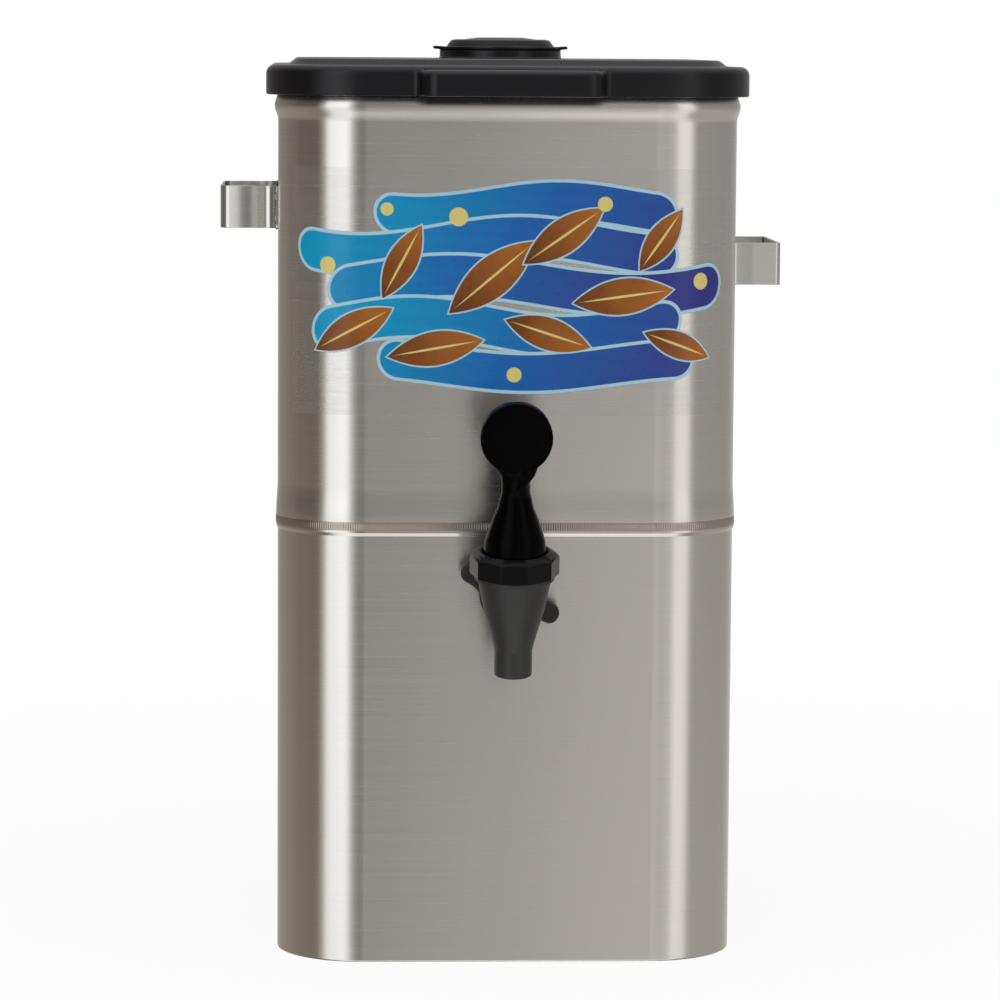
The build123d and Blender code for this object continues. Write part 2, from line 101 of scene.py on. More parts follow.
# %% The wire class
class Wire:
    """One output of a shader node. Arithmetic on it adds Math nodes."""

    def __init__(self, socket):
        self.socket = socket

    @staticmethod
    def node(tree, kind, settings=None, sockets=None, out=0):
        """Adds a node, sets it up, fills or links its inputs, and returns one of its outputs."""
        made = tree.nodes.new(kind)
        for name, value in (settings or {}).items():
            if name == "stops":
                ramp = made.color_ramp
                while len(ramp.elements) < len(value):
                    ramp.elements.new(1.0)
                for element, (place, colour) in zip(ramp.elements, value):
                    element.position = place
                    element.color = (*colour, 1.0)
            else:
                setattr(made, name, value)
        for name, value in (sockets or {}).items():
            if isinstance(value, Wire):
                tree.links.new(value.socket, made.inputs[name])
            else:
                made.inputs[name].default_value = value
        return Wire(made.outputs[out]) if made.outputs else None

    def math(self, operation, *others, before=()):
        sockets = dict(enumerate((*before, self, *others)))
        return Wire.node(self.socket.id_data, "ShaderNodeMath", {"operation": operation}, sockets)

    def __add__(self, other):
        return self.math("ADD", other)

    def __sub__(self, other):
        return self.math("SUBTRACT", other)

    def __rsub__(self, other):
        return self.math("SUBTRACT", before=(other,))

    def __mul__(self, other):
        return self.math("MULTIPLY", other)

    def __truediv__(self, other):
        return self.math("DIVIDE", other)

    def __rtruediv__(self, other):
        return self.math("DIVIDE", before=(other,))

    __radd__ = __add__
    __rmul__ = __mul__


def blend_colours(add, factor, low, high):
    """A colour between low and high."""
    ends = [colour if isinstance(colour, Wire) else (*colour, 1) for colour in (low, high)]
    return add("ShaderNodeMix", {"data_type": "RGBA"}, {0: factor, 6: ends[0], 7: ends[1]}, out=2)


def change_over(add, value, low, high, start=0.0, end=1.0, kind="SMOOTHSTEP"):
    """Start up to where value is low, end from where it is high, and a change between them."""
    return add("ShaderNodeMapRange", {"interpolation_type": kind},
               {0: value, 1: low, 2: high, 3: start, 4: end})


def parts_of(add, vector):
    """The x, y and z of a vector."""
    split = add("ShaderNodeSeparateXYZ", sockets={0: vector})
    return [Wire(socket) for socket in split.socket.node.outputs]


print("Wire is ready")

# %% [markdown]
# ## The studio
#
# Brushed steel has hardly any colour of its own: what the eye sees is the room, smeared by the grain.
# Two lamps on black would give two hard stripes, and a white room would give a flat grey tin. So the world
# is a soft panorama of bands, each at its bearing from the object's front: two tall soft boxes, one left
# and one right, with quieter greys between them. Each row holds a bearing in degrees, the level at eye
# height, the level lower down, and how warm that light is. Below lies a pale table, as wide as the view;
# edges that face down reflect it. The camera itself sees plain white all round.

# %% World
WHITE = (1.0, 1.0, 1.0)
BAND_SCALE = 2.0
STUDIO_BANDS = [
    (-180, 0.50, 0.80, 0.05), (-155, 0.26, 0.42, 0.12), (-108, 0.18, 0.36, 0.18), (-98, 0.12, 0.34, 0.20),
    (-65, 0.10, 0.31, 0.20), (-57, 0.40, 0.62, 0.05), (-50, 1.45, 1.15, -0.08), (-24, 1.65, 1.22, -0.08),
    (-17, 0.60, 0.66, 0.0), (-10, 0.24, 0.34, 0.03), (0, 0.19, 0.31, 0.03), (5, 0.52, 0.84, 0.02),
    (18, 0.46, 0.72, 0.02), (28, 0.56, 0.74, 0.0), (37, 1.20, 1.04, 0.0), (51, 1.24, 0.98, 0.0),
    (57, 0.60, 0.66, 0.03), (63, 0.34, 0.54, 0.03), (130, 0.33, 0.50, 0.05), (180, 0.50, 0.80, 0.05),
]
EYE_LEVEL, TABLE_WARDS = 0.0, -0.2
CEILING_LEVEL = 0.85
CEILING_STARTS = 0.45
TABLE_LEVEL = 1.5
TABLE_STARTS, TABLE_FULL = -0.64, -0.84
TABLE_SIDE, TABLE_FRONT, TABLE_AROUND = 0.48, 0.62, 0.04

world = bpy.data.worlds.new("studio")
world.use_nodes = True
bpy.context.scene.world = world
world.node_tree.nodes.clear()
add = partial(Wire.node, world.node_tree)
east, north, height = parts_of(add, add("ShaderNodeTexCoord"))
bearing = east.math("ARCTAN2", 0 - north)
band_place = bearing / math.tau + 0.5


def panorama(column):
    """A ramp round the room from one column of levels."""
    stops = []
    for row in STUDIO_BANDS:
        level, warmth = row[column] / BAND_SCALE, row[3]
        stops.append((row[0] / 360 + 0.5, (level, level * (1 - warmth / 2), level * (1 - warmth))))
    ramp = add("ShaderNodeValToRGB", {"stops": stops}, {0: band_place})
    ramp.socket.node.color_ramp.interpolation = "EASE"
    return ramp


downwards = change_over(add, height, EYE_LEVEL, TABLE_WARDS, kind="LINEAR")
bands = blend_colours(add, downwards, panorama(1), panorama(2))
ceiling = change_over(add, height, CEILING_STARTS, 1.0)
room = blend_colours(add, ceiling, bands, (CEILING_LEVEL / BAND_SCALE,) * 3)
ahead_only = change_over(add, bearing.math("COSINE"), TABLE_SIDE, TABLE_FRONT, start=TABLE_AROUND)
below = change_over(add, height, TABLE_FULL, TABLE_STARTS, start=1.0, end=0.0)
table = add("ShaderNodeVectorMath", {"operation": "SCALE"},
            {0: (TABLE_LEVEL / BAND_SCALE,) * 3, 3: ahead_only})
room = blend_colours(add, below, room, table)
studio_light = add("ShaderNodeBackground", sockets={0: room, 1: BAND_SCALE})
backdrop = add("ShaderNodeBackground", sockets={0: (*WHITE, 1), 1: 1.0})
to_camera = add("ShaderNodeLightPath")
both = add("ShaderNodeMixShader", sockets={0: to_camera, 1: studio_light, 2: backdrop})
add("ShaderNodeOutputWorld", sockets={0: both})
print(len(STUDIO_BANDS), "bands of light around the object")

# %% [markdown]
# The floor is pale and catches a soft shadow. For the camera it is mostly plain white light, so it melts
# into the white backdrop; close to the object a small share of it is an ordinary matt surface that shows the
# shadow, and further out none is. One wide lamp overhead gives the shadow. It isn't mirrored, so that no
# hard patch of light lies on glossy pieces.

# %% Floor and lamp
FLOOR_SIZE = 60.0
SHADOW_START, SHADOW_REACH = 0.2, 1.1
SHADOW_SHARE = 0.09

floor_mesh = bpy.data.meshes.new("floor")
half = FLOOR_SIZE / 2
floor_corners = [(-half, -half, 0), (half, -half, 0), (half, half, 0), (-half, half, 0)]
floor_mesh.from_pydata(floor_corners, [], [(0, 1, 2, 3)])
floor = new_object("floor", floor_mesh)
floor.visible_glossy = False

paper = bpy.data.materials.new("pale_floor")
paper.use_nodes = True
paper.node_tree.nodes.clear()
add = partial(Wire.node, paper.node_tree)
place = add("ShaderNodeTexCoord", out=3)
away = add("ShaderNodeVectorMath", {"operation": "LENGTH"}, {0: place}, out=1)
fade = change_over(add, away, SHADOW_START, SHADOW_REACH, start=1 - SHADOW_SHARE)
matt = add("ShaderNodeBsdfDiffuse", sockets={0: (0.9, 0.9, 0.9, 1)})
glow = add("ShaderNodeEmission", sockets={0: (*WHITE, 1), 1: 1.0})
to_camera = add("ShaderNodeLightPath")
blended = add("ShaderNodeMixShader", sockets={0: fade * to_camera, 1: matt, 2: glow})
add("ShaderNodeOutputMaterial", sockets={0: blended})
floor_mesh.materials.append(paper)

lamp = new_object("overhead", bpy.data.lights.new("overhead", "AREA"))
lamp.data.shape = "RECTANGLE"
lamp.data.size, lamp.data.size_y = 1.6, 1.2
lamp.data.energy = 12.0
lamp.location = (-0.1, -0.35, 1.9)
lamp.visible_glossy = False
lamp.rotation_euler = (Vector((0, 0, 0.25)) - lamp.location).to_track_quat("-Z", "Y").to_euler()
print("floor and overhead lamp are in place")

# %% [markdown]
# ## Finishes
#
# Every finish is a Principled material. Its constant values sit on the shader's own sockets, and only
# what changes over the surface is calculated.

# %% A finish starts here
def new_finish(name, **constants):
    """A material with constants on its shader's sockets, what adds its nodes, and its shader."""
    material = bpy.data.materials.new(name)
    material.use_nodes = True
    shader = material.node_tree.nodes["Principled BSDF"]
    for socket, value in constants.items():
        shader.inputs[socket.replace("_", " ")].default_value = value
    return material, partial(Wire.node, material.node_tree), shader


def link(shader, socket, wire):
    """Joins a wire to a socket of the shader."""
    shader.id_data.links.new(wire.socket, shader.inputs[socket])


def grain(add, stretch, detail=3.0, roughness=0.5):
    """Noise from 0 to 1 whose cells per metre along X, Y and Z are given by stretch."""
    place = add("ShaderNodeTexCoord", out=3)
    stretched = add("ShaderNodeVectorMath", {"operation": "MULTIPLY"}, {0: place, 1: stretch})
    return add("ShaderNodeTexNoise", sockets={"Vector": stretched, "Scale": 1.0, "Detail": detail,
                                              "Roughness": roughness})


def dress(add, shader, colour, rough, height, depth_mm):
    """Links what varies over a surface: its colour, its roughness, and a relief of height times depth."""
    relief = add("ShaderNodeBump", sockets={"Strength": 1.0, "Distance": depth_mm * MM, "Height": height})
    link(shader, "Base Color", colour)
    link(shader, "Roughness", rough)
    link(shader, "Normal", relief)


print("finish helpers are ready")

# %% Brushed sheet
BRUSH_DEPTH = 0.02


def brushed_sheet(name, light, dark, rough):
    """Metal with long streaks along the sheet, which smear its reflections across them."""
    material, add, shader = new_finish(name, Metallic=1.0, Anisotropic=0.85, Anisotropic_Rotation=0.25)
    long_streaks = grain(add, (6, 6, 900))
    fine_streaks = grain(add, (40, 40, 3200))
    clouds = grain(add, (9, 9, 5))
    tone = long_streaks * 0.5 + fine_streaks * 0.3 + clouds * 0.2
    roughness = rough + (long_streaks - 0.5) * 0.10 + (fine_streaks - 0.5) * 0.08
    dress(add, shader, blend_colours(add, tone, dark, light), roughness,
          fine_streaks * 0.6 + long_streaks * 0.4, BRUSH_DEPTH)
    return material


sheet_steel = brushed_sheet("brushed_sheet", (0.72, 0.68, 0.63), (0.60, 0.57, 0.53), 0.25)
weld_steel = brushed_sheet("welded_seam", (0.52, 0.46, 0.41), (0.38, 0.33, 0.29), 0.34)
print("brushed sheet and its weld")

# %% [markdown]
# Moulded plastic takes over the fine texture of its mould, and handling polishes it unevenly. Both are
# small, but without them a black part looks like a hole in the picture. Black plastic has almost no colour,
# so its look is set by the strength and the width of its shine. On the lid and the plug, the faces that look
# up are painted a little paler than the sides: a painted sheen that stands in for the light from above.

# %% Moulded plastic
def moulded(name, light, dark, rough, shine=0.5, texture_mm=0.015, cells=1400, wear=0.06, top_sheen=None):
    """A moulded plastic. If a sheen colour is given, the faces that look up are painted towards it: a
    painted highlight of the light from above.
    """
    material, add, shader = new_finish(name, Specular_IOR_Level=shine)
    pores = grain(add, (cells,) * 3, detail=2.0)
    flow = grain(add, (26, 26, 60))
    smudges_and_sheen = grain(add, (45, 45, 45), detail=4.0, roughness=0.6)
    colour = blend_colours(add, pores * 0.4 + flow * 0.6, dark, light)
    # painted sheen: faces that look up are blended towards a paler colour, standing in for light from above
    if top_sheen:
        upward = parts_of(add, add("ShaderNodeNewGeometry", out=1))[2].math("MAXIMUM", 0)
        colour = blend_colours(add, upward * upward * (smudges_and_sheen * 0.5 + 0.75), colour, top_sheen)
    roughness = rough + (smudges_and_sheen - 0.5) * (2 * wear) + (pores - 0.5) * wear
    dress(add, shader, colour, roughness, pores, texture_mm)
    return material


# the lid and the plug get a painted sheen on the faces that look up
lid_black = moulded("lid_plastic", (0.006, 0.0052, 0.007), (0.004, 0.0034, 0.0048), 0.28, 0.30, 0.012,
                    top_sheen=(0.032, 0.031, 0.035))
plug_black = moulded("plug_plastic", (0.006, 0.0052, 0.007), (0.004, 0.0034, 0.0048), 0.30, 0.28, 0.012,
                     top_sheen=(0.018, 0.017, 0.020))
tap_black = moulded("tap_black", (0.0012,) * 3, (0.0006,) * 3, 0.22, 0.035, 0.002, 700, 0.03)
bonnet_black = moulded("bonnet_black", (0.0045,) * 3, (0.0025,) * 3, 0.16, 0.14, 0.004, 900, 0.04)
spout_grey = moulded("spout_grey", (0.024, 0.0225, 0.021), (0.017, 0.016, 0.015), 0.46, 0.45, 0.02, 1200)
nut_black = moulded("nut_black", (0.022, 0.020, 0.015), (0.013, 0.012, 0.009), 0.58, 0.35, 0.03, 1000)
black_rubber = moulded("black_rubber", (0.026, 0.025, 0.024), (0.018, 0.017, 0.016), 0.70, 0.3, 0.02, 1600)
silicone = moulded("silicone", (0.56, 0.55, 0.52), (0.48, 0.47, 0.45), 0.45, 0.4, 0.01, 900)
print("moulded plastics")

# %% [markdown]
# Turned steel and drawn wire keep faint marks across them from the lathe or the die, finer than the brushed
# sheet's grain and without its long streaks.

# %% Turned steel
LATHE_DEPTH = 0.006


def turned_steel(name, light, dark, rough):
    """Metal with fine marks that have no long direction."""
    material, add, shader = new_finish(name, Metallic=1.0)
    marks = grain(add, (160, 160, 160), detail=4.0, roughness=0.7)
    fine = grain(add, (2600, 400, 400))
    roughness = rough + (marks - 0.5) * 0.12 + (fine - 0.5) * 0.10
    dress(add, shader, blend_colours(add, marks * 0.6 + fine * 0.4, dark, light), roughness,
          fine, LATHE_DEPTH)
    return material


lathe_steel = turned_steel("machined_steel", (0.70, 0.69, 0.67), (0.55, 0.54, 0.52), 0.24)
spring_steel = turned_steel("spring_steel", (0.76, 0.75, 0.73), (0.62, 0.61, 0.60), 0.20)
print("turned steel")

# %% [markdown]
# ## Shapes from stations, rings and profiles
#
# Nearly everything here is a section carried along a line: sheet metal round the tank, a strap round its
# handle, a profile turned about the faucet's axis. Modifiers could do each of them, but one family of
# small functions gives exact sizes and clean quads. A *station* is a point of a plan with its outward
# direction. Real edges are never razor sharp, so every corner is given a radius.

# %% Stations along runs and arcs
def spaced(low, high, parts):
    """Values from low to high, both included."""
    return [low + (high - low) * i / parts for i in range(parts + 1)]


def soft_corners(corners, closed=True, steps=6):
    """Stations (point, outward direction) round corners of (x, y, radius), given anticlockwise."""
    stations = []
    last = len(corners) - 1
    for i, (x, y, radius) in enumerate(corners):
        here = Vector((x, y))
        arrive = (here - Vector(corners[i - 1][:2])).normalized()
        leave = (Vector(corners[(i + 1) % len(corners)][:2]) - here).normalized()
        if not closed:
            arrive = leave if i == 0 else arrive
            leave = arrive if i == last else leave
        turn = math.atan2(arrive.x * leave.y - arrive.y * leave.x, arrive.dot(leave))
        outward = Vector((arrive.y, -arrive.x))
        bend = math.copysign(radius, turn)
        centre = here - arrive * radius * math.tan(abs(turn) / 2) - outward * bend
        for step in range(steps + 1 if radius else 1):
            direction = Matrix.Rotation(turn * (step / steps if radius else 0.5), 2) @ outward
            stations.append((centre + direction * bend, direction))
    return stations


def divided(stations, longest):
    """A closed plan with extra stations, so that none of its runs is over that length."""
    result = []
    for (point, outward), (following, _) in zip(stations, stations[1:] + stations[:1]):
        parts = max(1, math.ceil((following - point).length / longest))
        result += [(point.lerp(following, part / parts), outward) for part in range(parts)]
    return result


def profile(corners, steps=4, closed=False):
    """The points of a section, with its corners (x, y, radius) rounded."""
    return [tuple(point) for point, _ in soft_corners(corners, closed, steps)]


quarter = soft_corners([(0, 0, 0), (1, 0, 1), (1, 1, 0)], closed=False, steps=2)
print("a quarter turn passes", [tuple(round(c, 3) for c in point) for point, _ in quarter])

# %% Rings into a mesh
SAME_POINT = 1e-7


def ring_object(name, rings, place=None, rings_closed=False, caps=False):
    """Quads between rings of equally many points, put in place by a matrix. Equal points are merged."""
    across, count = len(rings[0]), len(rings)
    faces = []
    for i in range(count if rings_closed else count - 1):
        near, far = i * across, (i + 1) % count * across
        for j in range(across):
            k = (j + 1) % across
            faces.append((near + j, near + k, far + k, far + j))
    if caps:
        faces.append(tuple(reversed(range(across))))
        faces.append(tuple(range((count - 1) * across, count * across)))
    mesh = bpy.data.meshes.new(name)
    mesh.from_pydata([Vector(point) * MM for ring in rings for point in ring], [], faces)
    work = bmesh.new()
    work.from_mesh(mesh)
    bmesh.ops.remove_doubles(work, verts=work.verts, dist=SAME_POINT)
    bmesh.ops.recalc_face_normals(work, faces=work.faces)
    work.to_mesh(mesh)
    work.free()
    if place is not None:
        mesh.transform(place)
    return new_object(name, mesh)


def join(made, other):
    """Puts the other's faces into the first object."""
    both = bmesh.new()
    both.from_mesh(made.data)
    both.from_mesh(other.data)
    both.to_mesh(made.data)
    both.free()
    bpy.data.objects.remove(other)


def carve(made, tool, operation):
    """Cuts the tool out of an object, or joins it on, for good."""
    change = made.modifiers.new("carve", "BOOLEAN")
    change.operation, change.object, change.solver = operation, tool, "EXACT"
    seen = made.evaluated_get(bpy.context.evaluated_depsgraph_get())
    result = bpy.data.meshes.new_from_object(seen)
    made.modifiers.clear()
    made.data = result
    bpy.data.objects.remove(tool)


def set_up(made, body, slot, material, *nodes, sharp=40):
    """Smooth shading, finish, and the body and CAD nodes that the piece stands for."""
    mesh = made.data
    mesh.shade_smooth()
    mesh.set_sharp_from_angle(angle=math.radians(sharp))
    weigh = made.modifiers.new("even_normals", "WEIGHTED_NORMAL")
    weigh.keep_sharp = True
    mesh.materials.clear()
    mesh.materials.append(material)
    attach(made, body)
    if nodes:
        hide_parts(*nodes)
    print(f"{made.name}: {len(mesh.polygons)} faces")


print("meshes from rings can be made, joined and cut")

# %% Sweeps and turned forms
def swept(stations, section):
    """Rings of a section of (out, z) points, one ring for each station of a plan."""
    return [[(*(point + outward * out), z) for out, z in section] for point, outward in stations]


def turned(section, steps):
    """Rings of (radius, height) points about the Z axis."""
    circle = [(math.cos(math.tau * i / steps), math.sin(math.tau * i / steps)) for i in range(steps)]
    return [[(c * radius, s * radius, height) for c, s in circle] for radius, height in section]


def turned_object(name, section, place, steps, **options):
    """A turned section as an object, put in place by a matrix."""
    return ring_object(name, turned(section, steps), place, **options)


def smoothstep(t):
    """0 below 0, 1 above 1, and a soft change between them."""
    t = min(max(t, 0.0), 1.0)
    return t * t * (3 - 2 * t)


FAUCET_LEAN = math.radians(10)
FAUCET_PLACE = Matrix.Translation(Vector((0, -201.0, 195.1)) * MM) @ Matrix.Rotation(FAUCET_LEAN, 4, "X")
ALONG_TAIL = Matrix.Rotation(-math.pi / 2, 4, "X")
TAIL_PLACE = FAUCET_PLACE @ ALONG_TAIL
print("sweeps and turned forms are ready")

# %% [markdown]
# ## The tank's wall
#
# The tank is one stainless sheet, wrapped round and welded. A rounded bead stiffens it below the lid, and
# at the seam it steps out to slip over the skirt, where its lower edge is rolled. A cube with bevels
# could give the outline, but not the bead and the step at their real size, so the sheet's own section is
# carried round the plan.

# %% Body plan
BODY_WIDTH = 248.0
BODY_DEPTH = 290.0
BODY_CORNER = 47.0
CORNER_STEPS = 36
SHEET = 0.9


def body_plan(grow=0.0, steps=CORNER_STEPS):
    """Stations round the body, grown outwards by that much."""
    x = BODY_WIDTH / 2 + grow
    y = BODY_DEPTH / 2 + grow
    radius = BODY_CORNER + grow
    return soft_corners([(x, -y, radius), (x, y, radius), (-x, y, radius), (-x, -y, radius)], steps=steps)


plan = body_plan()
print(len(plan), "stations round the body")

# %% Tank wall
SEAM_Z = 231.3
SHELL_TOP = 478.8
LAP = 0.9
ROLL_HEIGHT, ROLL_RADIUS, FEATHER = 1.8, 0.9, 0.10
STEP_LOW, STEP_HIGH = 239.5, 257.0
BEAD_Z, BEAD_HALF, BEAD_BULGE = 460.0, 8.0, 1.9
CURVE_POINTS = 12

step_curve = [(LAP * (1 - smoothstep(t)), STEP_LOW + (STEP_HIGH - STEP_LOW) * t)
              for t in spaced(0, 1, CURVE_POINTS)]
bead_curve = [(BEAD_BULGE * math.cos(math.pi / 2 * t) ** 2, BEAD_Z + BEAD_HALF * t)
              for t in spaced(-1, 1, 2 * CURVE_POINTS)]
outer = step_curve + bead_curve
inner = [(out - SHEET, z) for out, z in reversed(outer)]
lower_edge = profile([(LAP - SHEET, STEP_LOW, 0), (LAP - SHEET, SEAM_Z, 0.04),
                      (LAP - SHEET + FEATHER, SEAM_Z, 0.05), (LAP, SEAM_Z + ROLL_HEIGHT, ROLL_RADIUS),
                      (LAP, STEP_LOW, 0)])
top_edge = profile([(0, BEAD_Z + BEAD_HALF, 0), (0, SHELL_TOP, 0.3), (-SHEET, SHELL_TOP, 0.3),
                    (-SHEET, BEAD_Z + BEAD_HALF, 0)])
section = lower_edge[1:-1] + outer + top_edge[1:-1] + inner
shell = ring_object("tank_wall", swept(plan, section), rings_closed=True)
set_up(shell, "dispenser_body", "brushed_sheet", sheet_steel, "tank_shell")

# %% [markdown]
# The seam is resistance welded: a wheel rolls along it and leaves a row of small overlapping ribs, about
# four to every 5 mm. Bump would fake them from the front, but not along the outline or in a close view, so
# the ribs are real geometry, a ring of their own that is sunk a little into the wall.

# %% Weld ribs
RIB_COUNT = 777
POINTS_PER_RIB = 6
RIB_LOW, RIB_HIGH = 234.2, 238.9
RIB_DEPTH = 0.16
RIB_ROWS = 7

perimeter = 2 * (BODY_WIDTH + BODY_DEPTH) - 8 * BODY_CORNER + math.tau * BODY_CORNER
spacing = perimeter / (RIB_COUNT * POINTS_PER_RIB)
quarter_steps = round(math.pi / 2 * BODY_CORNER / spacing)
fine_plan = divided(body_plan(steps=quarter_steps), spacing)
rings = []
for i, (point, outward) in enumerate(fine_plan):
    swell = RIB_DEPTH * abs(math.sin(math.pi * RIB_COUNT * i / len(fine_plan))) ** 0.6
    section = [(LAP - RIB_DEPTH, RIB_LOW)]
    for t in spaced(-1, 1, RIB_ROWS - 1):
        height = (RIB_LOW + RIB_HIGH) / 2 + t * (RIB_HIGH - RIB_LOW) / 2
        section.append((LAP - 0.01 + swell * math.sqrt(1 - t * t), height))
    section.append((LAP - RIB_DEPTH, RIB_HIGH))
    rings += swept([(point, outward)], section)
ribs = ring_object("seam_weld_ribs", rings, rings_closed=True)
set_up(ribs, "dispenser_body", "brushed_sheet", weld_steel, sharp=60)

# %% [markdown]
# ## The skirt
#
# The lower half is an open skirt that lifts the tap above a glass. Its foot is turned in to a hem, so no
# raw edge touches the counter. It goes a little way up inside the wall above it. The tap's steel tube
# passes through its front, so a round hole is cut there.

# %% Skirt
SKIRT_GAP = 0.05
SKIRT_TOP = 246.0
HEM_WIDTH = 6.0
SPUD_RADIUS = 12.0
SPUD_START, SPUD_END = 47.0, 78.0
TAIL_STEPS = 64

out = -SKIRT_GAP
section = profile([
    (out - HEM_WIDTH, 0, 0.4), (out, 0, 1.1), (out, SKIRT_TOP, 0.3), (out - SHEET, SKIRT_TOP, 0.3),
    (out - SHEET, 2 * SHEET, 0.3), (out - HEM_WIDTH, 2 * SHEET, 0.4)], closed=True)
skirt = ring_object("skirt", swept(plan, section), rings_closed=True)
hole = [(SPUD_RADIUS, SPUD_START), (SPUD_RADIUS, SPUD_END)]
carve(skirt, turned_object("hole", hole, TAIL_PLACE, TAIL_STEPS, caps=True), "DIFFERENCE")
set_up(skirt, "dispenser_body", "brushed_sheet", sheet_steel, "lower_skirt")

# %% [markdown]
# ## The strap handles
#
# Each handle is a strip bent twice outwards and back, with its two feet spot welded to the side. The left
# one sits higher than the right one, and its legs bow out a little, so light and dark run across them. The
# strip's rounded section follows the plan of the bends, and the ends of its feet are rounded by making the
# last few stations lower.

# %% Strap plan
STRAP_HEIGHT = 23.4
STRAP_THICKNESS = 1.5
LEFT_REACH, RIGHT_REACH = 31.4, 30.4
LEFT_BEND, RIGHT_BEND = 5.0, 2.6
LEFT_BOW, RIGHT_BOW = 2.4, 0.3
BOW_RADIUS = 44.0
STRAP_GRIP = 82.0
STRAP_FOOT = 22.0
FOOT_BEND = 7.0
FOOT_CORNER = 3.0
WELD_RADIUS, WELD_APART, WELD_STEPS = 2.4, 6.0, 24
WELD_MIDDLE = (STRAP_GRIP + STRAP_FOOT + FOOT_BEND) / 2
LEFT_HANDLE_Z, RIGHT_HANDLE_Z = 403.0, 372.6

strap_steel = brushed_sheet("handle_strap", (0.70, 0.675, 0.64), (0.58, 0.56, 0.53), 0.26)


def strap_stations(reach, bend, bow):
    """The plan of a right-hand strap, from its front foot to its back foot."""
    x_foot = BODY_WIDTH / 2 + STRAP_THICKNESS / 2
    x_grip = BODY_WIDTH / 2 + reach
    x_bow = (x_foot + x_grip) / 2
    leg = STRAP_GRIP / 2
    front = [(x_foot, -leg - STRAP_FOOT, 0), (x_foot, -leg, FOOT_BEND),
             (x_bow, -leg - bow, BOW_RADIUS), (x_grip, -leg, bend)]
    back = [(x, -y, radius) for x, y, radius in reversed(front)]
    stations = soft_corners(front + back, closed=False, steps=10)
    start, outward = stations[0]
    end = stations[-1][0]
    curve = [FOOT_CORNER * (1 - math.cos(angle)) for angle in spaced(0, math.pi / 2, 6)]
    first = [(start + Vector((0, far)), outward) for far in curve]
    last = [(end - Vector((0, far)), outward) for far in reversed(curve)]
    return first + stations[1:-1] + last


print(len(strap_stations(RIGHT_REACH, RIGHT_BEND, RIGHT_BOW)), "stations along the right strap")


# %% Both straps
def strap(name, node, side, height, reach, bend, bow):
    """One strap on its side of the tank, with two spot welds on each foot."""
    stations = strap_stations(reach, bend, bow)
    foot_end = abs(stations[0][0].y)
    rings = []
    for point, outward in stations:
        near_end = max(0.0, FOOT_CORNER - (foot_end - abs(point.y)))
        lost = FOOT_CORNER - math.sqrt(max(0.0, FOOT_CORNER ** 2 - near_end ** 2))
        high = STRAP_HEIGHT / 2 - lost
        thick = STRAP_THICKNESS / 2
        section = profile([(thick, -high, 0.45), (thick, high, 0.45),
                           (-thick, high, 0.3), (-thick, -high, 0.3)], closed=True)
        ring = swept([(point, outward)], section)[0]
        rings.append([(x * side, y, z + height) for x, y, z in ring])
    made = ring_object(name, rings, caps=True)
    dome = [(WELD_RADIUS, -0.2), (WELD_RADIUS, 0.0), (WELD_RADIUS * 0.6, 0.25), (0, 0.3)]
    face_out = Matrix.Rotation(side * math.pi / 2, 4, "Y")
    x = side * (BODY_WIDTH / 2 + STRAP_THICKNESS)
    for y in (-WELD_MIDDLE, WELD_MIDDLE):
        for z in (-WELD_APART, WELD_APART):
            place = Matrix.Translation(Vector((x, y, height + z)) * MM) @ face_out
            join(made, turned_object("weld", dome, place, WELD_STEPS))
    set_up(made, "dispenser_body", "handle_strap", strap_steel, node)


strap("strap_left", "left_handle", -1, LEFT_HANDLE_Z, LEFT_REACH, LEFT_BEND, LEFT_BOW)
strap("strap_right", "right_handle", 1, RIGHT_HANDLE_Z, RIGHT_REACH, RIGHT_BEND, RIGHT_BOW)

# %% [markdown]
# ## The lid
#
# The lid is one moulding: a drip rim that hangs over the wall, two grip tabs, a raised plateau and a round
# neck. Subdivision would soften it everywhere alike, so it is lofted instead. Every ring has the same
# stations, which follow the rim and its tabs first, then the plateau, and end as the neck's circle. The
# rings go up the outside, over the top, down through the neck and back along the underside.

# %% Lid plan
LID_OVER = 6.5
LID_LOW, LID_RIM = 465.7, 481.8
TAB_HALF, TAB_REACH, TAB_CORNER, TAB_ROOT, TAB_DROP = 48.2, 14.0, 9.2, 4.6, 2.2
PLATEAU_INSET, PLATEAU_SLOPE, PLATEAU_Z = 12.0, 4.4, 485.2
LID_WALL = 3.0
EDGE_FILLET = 4.8
TAB_FILLET = 3.8
NECK_RADIUS, NECK_BORE, NECK_TOP = 34.0, 31.0, 490.0

rim_x = BODY_WIDTH / 2 + LID_OVER
rim_y = BODY_DEPTH / 2 + LID_OVER
rim_corner = BODY_CORNER + LID_OVER
tab_y = rim_y + TAB_REACH
front_half = [(-rim_x, -rim_y, rim_corner), (-TAB_HALF, -rim_y, TAB_ROOT), (-TAB_HALF, -tab_y, TAB_CORNER),
              (TAB_HALF, -tab_y, TAB_CORNER), (TAB_HALF, -rim_y, TAB_ROOT), (rim_x, -rim_y, rim_corner)]
back_half = [(-x, -y, radius) for x, y, radius in front_half]
lid_plan = divided(soft_corners(front_half + back_half, steps=14), 8.0)
rim_plan = []
for point, outward in lid_plan:
    if abs(point.y) > rim_y:
        side = math.copysign(1, point.y)
        point, outward = Vector((point.x, side * rim_y)), Vector((0, side))
    rim_plan.append((point, outward))
print(len(lid_plan), "stations round the lid")


# %% Rings that follow the lid
def rim_rings(steps):
    """A ring for each (inset, height) from the rim, straight on behind the tabs."""
    return list(zip(*swept(rim_plan, [(-inset, height) for inset, height in steps])))


